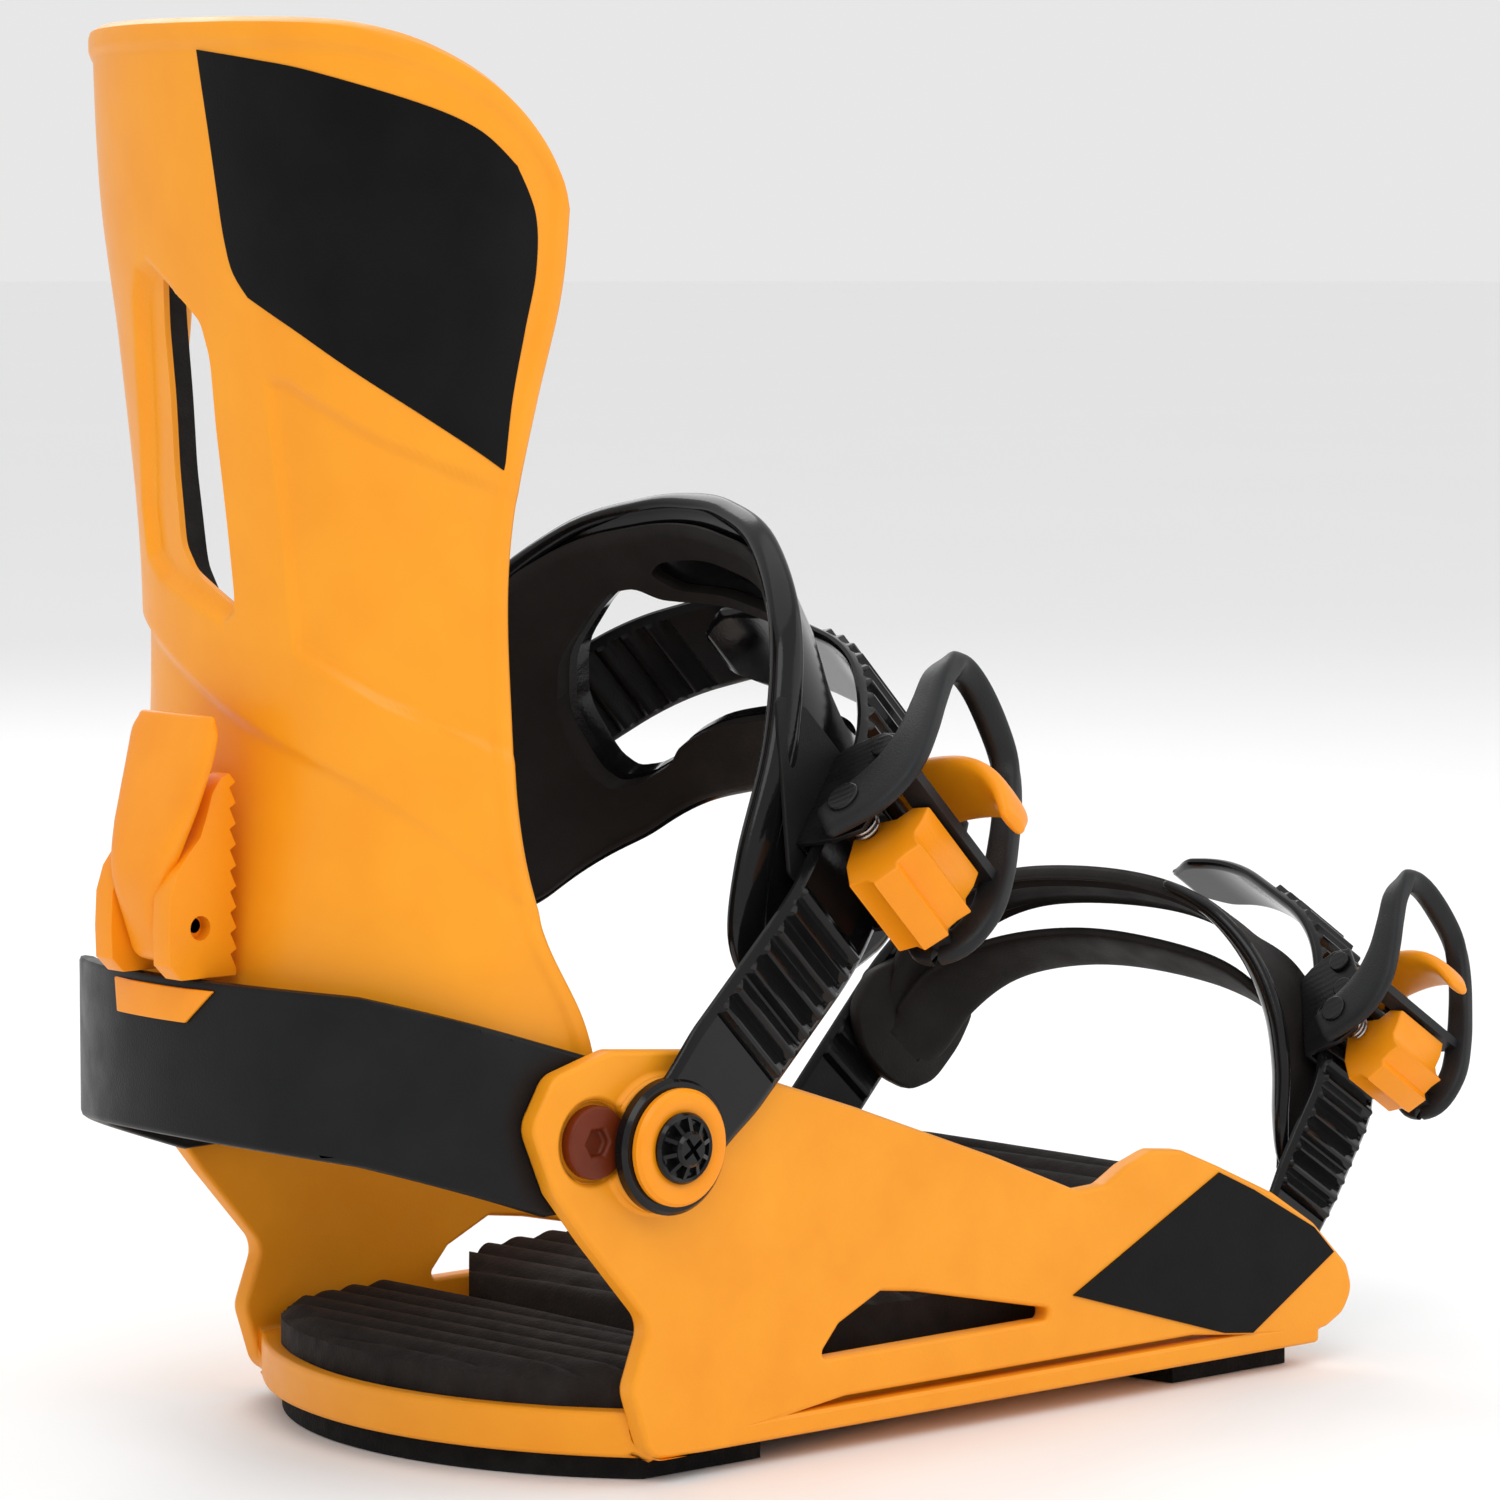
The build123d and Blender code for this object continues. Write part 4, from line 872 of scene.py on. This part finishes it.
def lathe(name, profile, centre, y, facing=1, steps=56, lobes=0, depth=0.0):
    # a closed profile of radius and height turned about an axis along Y through centre (x, z)
    points, faces = [], []
    for step in range(steps):
        a = 2 * pi * step / steps
        wave = 1.0 - depth * (0.5 + 0.5 * cos(lobes * a)) if lobes else 1.0
        for radius, height in profile:
            points.append(Vector((centre[0] + radius * wave * cos(a), y + facing * height,
                                  centre[1] + radius * wave * sin(a))) * MM)
    count = len(profile)
    for step in range(steps):
        ahead = (step + 1) % steps
        for k in range(count):
            after = (k + 1) % count
            faces.append((step * count + k, step * count + after, ahead * count + after, ahead * count + k))
    return formed_mesh(name, points, faces)


def strap_frame(pivot, slope):
    # x is the object's Y, y climbs along the strap, z is across its width
    rise = radians(slope)
    return Frame((pivot[0], 0, pivot[1]), (0, 1, 0), (cos(rise), 0, sin(rise)), (sin(rise), 0, -cos(rise)))


ANKLE_PIVOT = (-90.0, 70.0)
TOE_PIVOT = (100.0, 26.0)
TOE_FAR_PIVOT = (50.0, 26.0)
ANKLE_STRAP = strap_frame(ANKLE_PIVOT, 44)
TOE_STRAP = strap_frame(TOE_PIVOT, 57)
TOE_FAR_STRAP = strap_frame(TOE_FAR_PIVOT, 47)


def eye(name, centre, y, outer, bore, thick):
    half = thick / 2
    profile = [(bore, -half), (outer - 0.8, -half), (outer, -half + 0.8), (outer, half - 0.8), (outer - 0.8, half),
               (bore, half)]
    return lathe(name, profile, centre, y)


ANKLE_LEVER_AXIS = ANKLE_RATCHET.point(LEVER_PIN[0] * 1.2, LEVER_PIN[1] * 1.2, 0)


def ankle_ladder():
    blade = strip("ankle_blade", ANKLE_STRAP, [(-71, 0), (-71, 58), (-59, 100), (-38, 124), (0, 134), (20, 130)],
                  [60, 50, 45, 50], 24, 2.6, 8.5, (27, 150, 5.2, 2.1), False, 10.0, ANKLE_LEVER_AXIS)
    show("ankle_ladder_formed", joined("ankle_ladder", [blade, eye("eye", ANKLE_PIVOT, -71, 14, 4.05, 3.6)]),
         GLOSS, "ankle_ladder", angle=30)


def ankle_connector():
    blade = strip("connector_blade", ANKLE_STRAP, [(71, 0), (71, 58), (60, 101), (40, 126), (12, 137.5)],
                  [60, 50, 45], 24, 2.6, 8.5, (40, 146, 6.6, 1.7), True, 7.0)
    show("ankle_connector_formed", joined("connector", [blade, eye("eye", ANKLE_PIVOT, 71, 14, 4.05, 3.6)]),
         DARK, "ankle_connector", angle=30)


def toe_straps():
    blade = strip("toe_blade", TOE_STRAP, [(-59.8, 0), (-59.8, 40), (-39, 76), (-6, 89), (16, 87)],
                  [24, 35, 40], 20, 2.6, 6.0, (12, 100, 4.3, 1.9), False)
    show("toe_ladder_formed", joined("toe_ladder", [blade, eye("eye", TOE_PIVOT, -59.8, 9, 3.4, 2.8)]),
         GLOSS, "toe_ladder", angle=30)
    blade = strip("toe_far_blade", TOE_FAR_STRAP, [(59.5, 0), (59.5, 66), (55, 90)], [40], 20, 2.4, 6.0,
                  (39, 88, 6.0, 1.5), True)
    show("toe_connector_formed", joined("toe_far", [blade, eye("eye", TOE_FAR_PIVOT, 59.6, 9, 3.4, 2.6)]),
         DARK, "toe_connector", angle=30)


def strap_screws():
    # a rounded washer and a finned, cross-recessed screw outside each ankle strap eye
    for side, label in ((-1, "ankle_ladder"), (1, "ankle_connector")):
        washer = lathe("washer", [(4.1, 0), (12, 0), (12, 1.1), (11.3, 1.9), (10.2, 2.05), (8.6, 2.0), (7.7, 1.5),
                                  (4.1, 1.3)], ANKLE_PIVOT, side * 73, side)
        show(label + "_washer_formed", washer, ORANGE_SOFT, label + "_washer")
        dish = lathe("dish", [(0.05, 1.4), (7.2, 1.4), (7.3, 2.2), (6.8, 2.9), (6.1, 2.7), (5.9, 2.0), (0.05, 2.0)],
                     ANKLE_PIVOT, side * 73, side)
        hub = lathe("hub", [(0.05, 1.9), (3.7, 1.9), (3.7, 4.2), (3.1, 4.8), (0.05, 4.9)], ANKLE_PIVOT, side * 73,
                    side, 48, 0, 0)
        fins = []
        for fin in range(10):
            a = 2 * pi * fin / 10 + 0.2
            wall = Frame((ANKLE_PIVOT[0], side * 73, ANKLE_PIVOT[1]), (cos(a), 0, sin(a)), (0, side, 0),
                         (-sin(a), 0, cos(a)))
            fins.append(moulding("fin", [(3.4, 1.8), (6.4, 1.8), (6.3, 2.8), (3.6, 4.0)], -0.42, 0.42, wall, 0.15, 1))
        head = bpy.data.objects.new("head", hub)
        bpy.context.scene.collection.objects.link(head)
        for turned in (35, 125):
            a = radians(turned)
            across = Frame((ANKLE_PIVOT[0], side * 73, ANKLE_PIVOT[1]), (cos(a), 0, sin(a)), (0, side, 0),
                           (-sin(a), 0, cos(a)))
            slot = bpy.data.objects.new("slot", moulding("slot", [(-2.5, 3.3), (2.5, 3.3), (2.9, 6), (-2.9, 6)],
                                                         -0.5, 0.5, across, 0))
            bpy.context.scene.collection.objects.link(slot)
            cut(head, slot)
            bpy.data.objects.remove(slot)
        carved_hub = head.data
        bpy.data.objects.remove(head)
        show(label + "_screw_formed", joined("screw", [dish, carved_hub] + fins), GLOSS, label + "_screw")


ankle_ladder()
ankle_connector()
toe_straps()
strap_screws()

# ---- ankle pad's rim ----


def pad_rim():
    # the rolled glossy rim along the pad's rear edge, down to its tip beside the ladder
    half = [
        (-50.5, -60.6, 93.5, 6.0, 3.6), (-56.5, -60.8, 101, 8.6, 4.4), (-60, -60.4, 110, 9.4, 4.8),
        (-57.4, -60.0, 125, 9.0, 4.8), (-48.4, -57.8, 148, 8.0, 4.8), (-40.6, -50.6, 171.5, 7.0, 4.6),
        (-30.5, -32.5, 187.5, 6.0, 4.2), (-24.4, -14, 193.6, 5.2, 3.8), (-22.6, 0, 194.8, 5.0, 3.6),
    ]
    stations = []
    for x, y, z, w, t in half:
        stations.append((x, y, z, 0.87, 0.0, 0.5, w, t))
    for x, y, z, w, t in reversed(half[:-1]):
        stations.append((x, -y, z, 0.87, 0.0, 0.5, w * 0.75, t * 0.85))
    rim = ribbon("pad_rim", stations, WORLD, per=8, power=2.6)
    piece = bpy.data.objects.new("ankle_pad_rim", rim)
    smooth_by_angle(rim, 45)
    finish_piece(piece, GLOSS, "ankle_strap")


pad_rim()

# ---- ankle pad: glossy shell with a soft brown face, an opening between its two bands ----
PAD_FRAME = strap_frame(ANKLE_PIVOT, 30)
# the pad's side outline as x and height
PAD_SIDE = [(-60, 108), (-50, 93), (-18, 103), (2, 118), (16, 138), (-4, 172), (-20, 199), (-38, 180), (-48, 148),
            (-57, 125)]
# the opening: across the binding, then along the pad's depth
PAD_OPENING = [(31, -52.5), (25, -56.5), (18, -57), (12.5, -53.5), (6, -52.5), (-20, -52), (-40, -51), (-48, -45),
               (-48, -34), (-42, -27), (-20, -24.5), (0, -23), (15, -21), (24.5, -17.5), (28, -13.5), (35, -11),
               (39.5, -12), (41.5, -17), (42.5, -32), (38.5, -45)]


def depth_range(u):
    # where the level u of the pad's frame crosses its side outline
    corners = []
    for x, z in PAD_SIDE:
        at = Vector((x, 0, z)) - PAD_FRAME.origin
        corners.append((at.dot(PAD_FRAME.axes[1]), at.dot(PAD_FRAME.axes[2])))
    crossings = []
    for (u0, d0), (u1, d1) in zip(corners, corners[1:] + corners[:1]):
        if (u0 > u) != (u1 > u):
            crossings.append(d0 + (d1 - d0) * (u - u0) / (u1 - u0))
    return (min(crossings), max(crossings)) if len(crossings) > 1 else None


def pad_layer(name, inset, thick, shrink):
    flank, crown = 60.5, 120
    half = [(-flank, 30), (-flank, 62), (-52, 94), (-32, 112.5)]
    route = half + [(0, crown)] + [(-y, u) for y, u in reversed(half)]
    path, fine = filleted(route, [44, 40, 38, 60, 38, 40, 44], 1.6)
    rings = []
    for index, here in enumerate(path):
        span = depth_range(min(max(here.y, 36.5), 119.0))
        if not span or here.y < 36:
            continue
        run = (path[min(index + 1, len(path) - 1)] - path[max(index - 1, 0)]).normalized()
        rings.append((here, Vector((-run.y, run.x)), span[0] + shrink, span[1] - shrink))
    smooth_low = [ring[2] for ring in rings]
    smooth_high = [ring[3] for ring in rings]
    for _ in range(6):
        for values in (smooth_low, smooth_high):
            values[1:-1] = [(values[i - 1] + values[i] * 2 + values[i + 1]) / 4 for i in range(1, len(values) - 1)]
    across = 44
    points = []
    for (here, out, _, _), low, high in zip(rings, smooth_low, smooth_high):
        if high - low < 8:
            middle = (high + low) / 2
            low, high = middle - 4, middle + 4
        for face in (1, -1):
            for k in range(across + 1):
                share = k / across
                depth = low + (high - low) * share
                near = min(depth - low, high - depth)
                wall = thick / 2
                thin = wall - sqrt(max(wall * wall - max(wall - near, 0) ** 2, 0))
                offset = -inset + face * (wall - thin * 0.8)
                flat = here + out * offset
                points.append(PAD_FRAME.point(flat.x, flat.y, depth) * MM)
    line = across + 1
    ring_size = 2 * line
    faces = []
    for r in range(len(rings) - 1):
        for k in range(across):
            a = r * ring_size + k
            faces.append((a, a + 1, a + 1 + ring_size, a + ring_size))
            b = a + line
            faces.append((b + ring_size, b + 1 + ring_size, b + 1, b))
        for k in (0, across):
            a = r * ring_size + k
            faces.append((a, a + ring_size, a + line + ring_size, a + line))
    for r in (0, len(rings) - 1):
        for k in range(across):
            a = r * ring_size + k
            faces.append((a, a + line, a + line + 1, a + 1))
    return formed_mesh(name, points, faces)


def opened(mesh, outline, low, high):
    piece = bpy.data.objects.new("opened", mesh)
    bpy.context.scene.collection.objects.link(piece)
    cutter = prism(outline, low, high, lambda y, depth, u: PAD_FRAME.point(y, u, depth))
    bpy.context.scene.collection.objects.link(cutter)
    cut(piece, cutter)
    carved = piece.data
    bpy.data.objects.remove(piece)
    bpy.data.objects.remove(cutter)
    return carved


def ankle_pad():
    opening = rounded(PAD_OPENING, 3, 0.3)
    shell = opened(pad_layer("pad_shell", 0, 3.0, 0), opening, 62, 140)
    show("ankle_pad_formed", shell, GLOSS, "ankle_pad", angle=45)
    middle = Vector((0, -35))
    wider = [tuple(middle + (Vector(point) - middle) * 1.03) for point in opening]
    liner = opened(pad_layer("pad_liner", 3.05, 2.8, 2.2), wider, 60, 140)
    # a pocket through the soft face, above the opening
    pocket = rounded([(13, -60.5), (9, -63.5), (-6, -64.5), (-24, -63), (-34, -59.5), (-33, -54.5), (-14, -55.5),
                      (7, -55.8)], 3, 0.3)
    liner = opened(liner, pocket, 60, 140)
    show("ankle_pad_liner_formed", liner, BROWN, "ankle_pad_liner", angle=45)


ankle_pad()

# ---- toe cap: grooved upper band, plain lower band, and the sides they meet in ----


def toe_cap():
    def grooves(t, u, v):
        fade = ease(t, 0.10, 0.22) * (1 - ease(t, 0.46, 0.56))
        return (1 if v > 0 else -1) * 0.5 * fade * cos(4.2 * 2 * pi * u / 2) * (1 if abs(v) > 0.6 else 0)

    upper = ribbon("cap_upper", [
        (93, 56.2, 68, -1, 0, 0.8, 13, 3.0), (97.5, 52.5, 83, -1, 0, 0.6, 15, 3.0),
        (103, 43, 93.5, -0.95, 0, 0.55, 15, 3.2), (107.5, 27, 99.8, -0.9, 0, 0.5, 14.5, 3.4),
        (109, 0, 102, -0.9, 0, 0.5, 14.5, 3.4), (108.8, -24, 100.2, -0.9, 0, 0.5, 14.5, 3.2),
        (113, -37.5, 92.5, -0.85, 0, 0.5, 17, 3.0), (118.5, -44.6, 81, -0.82, 0, 0.52, 24, 3.0),
        (121.4, -49.2, 69, -0.84, 0, 0.54, 28, 3.0), (117.6, -52.6, 57.5, -0.84, 0, 0.54, 24, 3.0),
        (110.6, -54.3, 47, -0.84, 0, 0.54, 12, 2.8), (107.4, -54.6, 42.4, -0.84, 0, 0.54, 5, 2.2),
    ], WORLD, per=12, power=4.5, around=60, groove=grooves)
    lower = ribbon("cap_lower", [
        (92.5, 56.6, 60, -1, 0, 0.7, 14, 3.2), (97.5, 55, 64, -1, 0, 0.8, 19, 3.2),
        (103, 50.5, 73, -0.95, 0, 0.7, 18, 3.0), (109, 40, 81, -0.88, 0, 0.62, 15.5, 3.0),
        (112.4, 22, 85.6, -0.8, 0, 0.6, 14, 3.0), (113, 0, 87, -0.8, 0, 0.6, 14, 3.0),
        (113.8, -26, 84.6, -0.8, 0, 0.6, 14, 3.0), (118, -38, 78.5, -0.82, 0, 0.56, 17, 2.8),
        (121.5, -45.6, 71, -0.84, 0, 0.54, 20, 2.4),
    ], WORLD, per=10, power=4.0, around=40)
    show("toe_cap_formed", joined("toe_cap", [upper, lower]), BROWN, "toe_cap", angle=45)
    rim = ribbon("cap_rim", [
        (102.6, -22, 104.4, -0.5, -0.5, 0.3, 2.6, 2.4), (105.2, -33.5, 99.2, -0.5, -0.5, 0.3, 4.6, 3.2),
        (108.2, -42.6, 89.6, -0.5, -0.7, 0.3, 6.2, 3.8), (109.4, -48.6, 78, -0.5, -0.7, 0.2, 7.2, 4.0),
        (108.4, -52.2, 66, -0.5, -0.7, 0.1, 7.6, 4.0), (106.2, -54.2, 55, -0.5, -0.7, 0.0, 6.8, 3.6),
        (105.8, -55.2, 47, -0.5, -0.7, -0.1, 4.6, 3.0), (107.2, -55.4, 42, -0.5, -0.7, -0.1, 2.2, 2.0),
    ], WORLD, per=10, power=2.5)
    smooth_by_angle(rim, 45)
    piece = bpy.data.objects.new("toe_cap_rim", rim)
    finish_piece(piece, GLOSS, "toe_strap")


def far_lobe():
    # rounded lobe at the inner end of the cap, with a square window over the connector's plate
    outline = rounded([(77, 71), (79.5, 61), (87, 53.5), (95, 49.8), (103, 51.5), (111, 59), (116, 67),
                       (111, 77), (103, 83.5), (92, 82), (82, 79)], 4, 0.32)
    lobe_frame = Frame((0, 0, 0), (1, 0, 0), (0, 0, 1), (0, 1, 0))
    plate = bpy.data.objects.new("lobe", moulding("lobe", outline, 54.8, 58.0, lobe_frame, 0.9, 3))
    bpy.context.scene.collection.objects.link(plate)
    square = bpy.data.objects.new("square", moulding("square", [(88, 64.5), (97, 56.5), (105.5, 66), (97.5, 74)], 40, 70,
                                                     lobe_frame, 0))
    bpy.context.scene.collection.objects.link(square)
    cut(plate, square)
    carved = plate.data
    bpy.data.objects.remove(plate)
    bpy.data.objects.remove(square)
    smooth_by_angle(carved, 40)
    piece = bpy.data.objects.new("toe_cap_lobe", carved)
    finish_piece(piece, BROWN, "toe_strap")


toe_cap()
far_lobe()

# ---- footbeds: moulded foam with broad cross ribs ----
HEEL_BED = [(-110.2, 0), (-109.2, -18), (-105.6, -34), (-98.5, -48), (-88, -57.4), (-76, -60), (-58, -61), (-58, 61),
            (-76, 60), (-88, 57.4), (-98.5, 48), (-105.6, 34), (-109.2, 18)]
TOE_BED = [(-57.5, -56), (96, -56), (105, -52), (110, -40), (111.6, -20), (112, 0), (111.6, 20), (110, 40), (105, 52),
           (96, 56), (-57.5, 56)]


def bed(name, outline, top, low, pitch, rise, start, edge_fall):
    # a block of foam whose top follows top(x, y) with soft ribs, trimmed to its outline
    xs = [point[0] for point in outline]
    ys = [point[1] for point in outline]
    nx, ny = int((max(xs) - min(xs)) / 0.9), 44
    points, faces = [], []
    for layer in (0, 1):
        for i in range(nx + 1):
            x = min(xs) - 1 + (max(xs) - min(xs) + 2) * i / nx
            for j in range(ny + 1):
                y = min(ys) - 1 + (max(ys) - min(ys) + 2) * j / ny
                inside = inside_by(outline, x, y)
                crest = abs(sin(pi * (x + 0.05 * y - start) / pitch)) ** 0.55
                rib = rise * (crest - 1.0) * ease(inside, 0.8, 3.0)
                height = top(x, y) + rib - edge_fall * (1 - ease(inside, -0.6, 5.5)) ** 2
                points.append(Vector((x, y, height if layer else low)) * MM)
    line = ny + 1
    sheet = (nx + 1) * line
    for i in range(nx):
        for j in range(ny):
            a = i * line + j
            faces.append((a, a + 1, a + 1 + line, a + line))
            faces.append((sheet + a + line, sheet + a + 1 + line, sheet + a + 1, sheet + a))
    for i in range(nx):
        for j in (0, ny):
            a = i * line + j
            faces.append((a, a + line, sheet + a + line, sheet + a))
    for j in range(ny):
        for i in (0, nx):
            a = i * line + j
            faces.append((a, a + 1, sheet + a + 1, sheet + a))
    block = bpy.data.objects.new(name, formed_mesh(name, points, faces))
    bpy.context.scene.collection.objects.link(block)
    form = prism(rounded(outline, 4, 0.3), low - 2, 70, lambda x, y, z: Vector((x, y, z)))
    bpy.context.scene.collection.objects.link(form)
    trim = block.modifiers.new("trim", "BOOLEAN")
    trim.operation = "INTERSECT"
    trim.object = form
    trim.solver = "EXACT"
    mesh = bpy.data.meshes.new_from_object(block.evaluated_get(bpy.context.evaluated_depsgraph_get()))
    bpy.data.objects.remove(block)
    bpy.data.objects.remove(form)
    return mesh


def toe_bed_top(x, y):
    rows = [(-58, 23.6), (-54, 26.6), (-50, 28.3), (-20, 29.6), (20, 31.6), (50, 35.6), (80, 39.6), (96, 40.6),
            (106, 37.6), (113, 31)]
    return read(rows, x)


def footbeds():
    heel = bed("heel_bed", HEEL_BED, lambda x, y: 23.0, 10.1, 8.2, 2.5, -106, 3.2)
    piece = show("heel_footbed_formed", heel, FOAM, "heel_footbed", angle=55)
    toe = bed("toe_bed", TOE_BED, toe_bed_top, 15.1, 9.5, 2.5, -50, 3.6)
    piece = show("toe_footbed_formed", toe, FOAM, "toe_footbed", angle=55)


footbeds()

# ---- floor, light and camera ----
FLOOR_SPAN = 60.0


def studio():
    bpy.ops.mesh.primitive_plane_add(size=FLOOR_SPAN, location=(0, 0, CAD_BOX[0][2] - 0.0002))
    floor = bpy.context.object
    floor.name = "studio_floor"
    floor.data.materials.append(
        moulded("pale_floor", (0.95, 0.95, 0.95), (0.96, 0.96, 0.96), (0.6, 0.7), 40, 0.01, 2.0))
    world = bpy.data.worlds.new("studio")
    bpy.context.scene.world = world
    world.use_nodes = True
    world.node_tree.nodes["Background"].inputs["Color"].default_value = (1.0, 1.0, 1.0, 1)
    world.node_tree.nodes["Background"].inputs["Strength"].default_value = 0.80
    centre = Vector((-0.02, 0, 0.12))
    for name, place, size, power in (
            ("key", (-0.9, -1.1, 1.5), 1.2, 9.0), ("fill", (1.2, -1.0, 0.9), 1.4, 4.0),
            ("rim", (0.6, 1.3, 1.2), 1.0, 6.0), ("top", (0.0, 0.0, 1.8), 1.6, 4.0)):
        lamp = bpy.data.lights.new(name, "AREA")
        lamp.shape = "DISK"
        lamp.size = size
        lamp.energy = power
        lit = bpy.data.objects.new(name, lamp)
        lit.location = place
        lit.rotation_euler = (centre - Vector(place)).to_track_quat("-Z", "Y").to_euler()
        bpy.context.scene.collection.objects.link(lit)


def camera():
    lens = bpy.data.cameras.new("view")
    lens.lens = 148.2
    lens.sensor_width = 36.0
    lens.clip_end = 20.0
    seen_from = bpy.data.objects.new("view", lens)
    seen_from.location = (-0.8989, -1.0002, 0.2596)
    seen_from.rotation_euler = (radians(90 - 5.08), 0, radians(-41.78))
    bpy.context.scene.collection.objects.link(seen_from)
    bpy.context.scene.camera = seen_from


studio()
camera()
bpy.context.scene.view_settings.view_transform = "Standard"
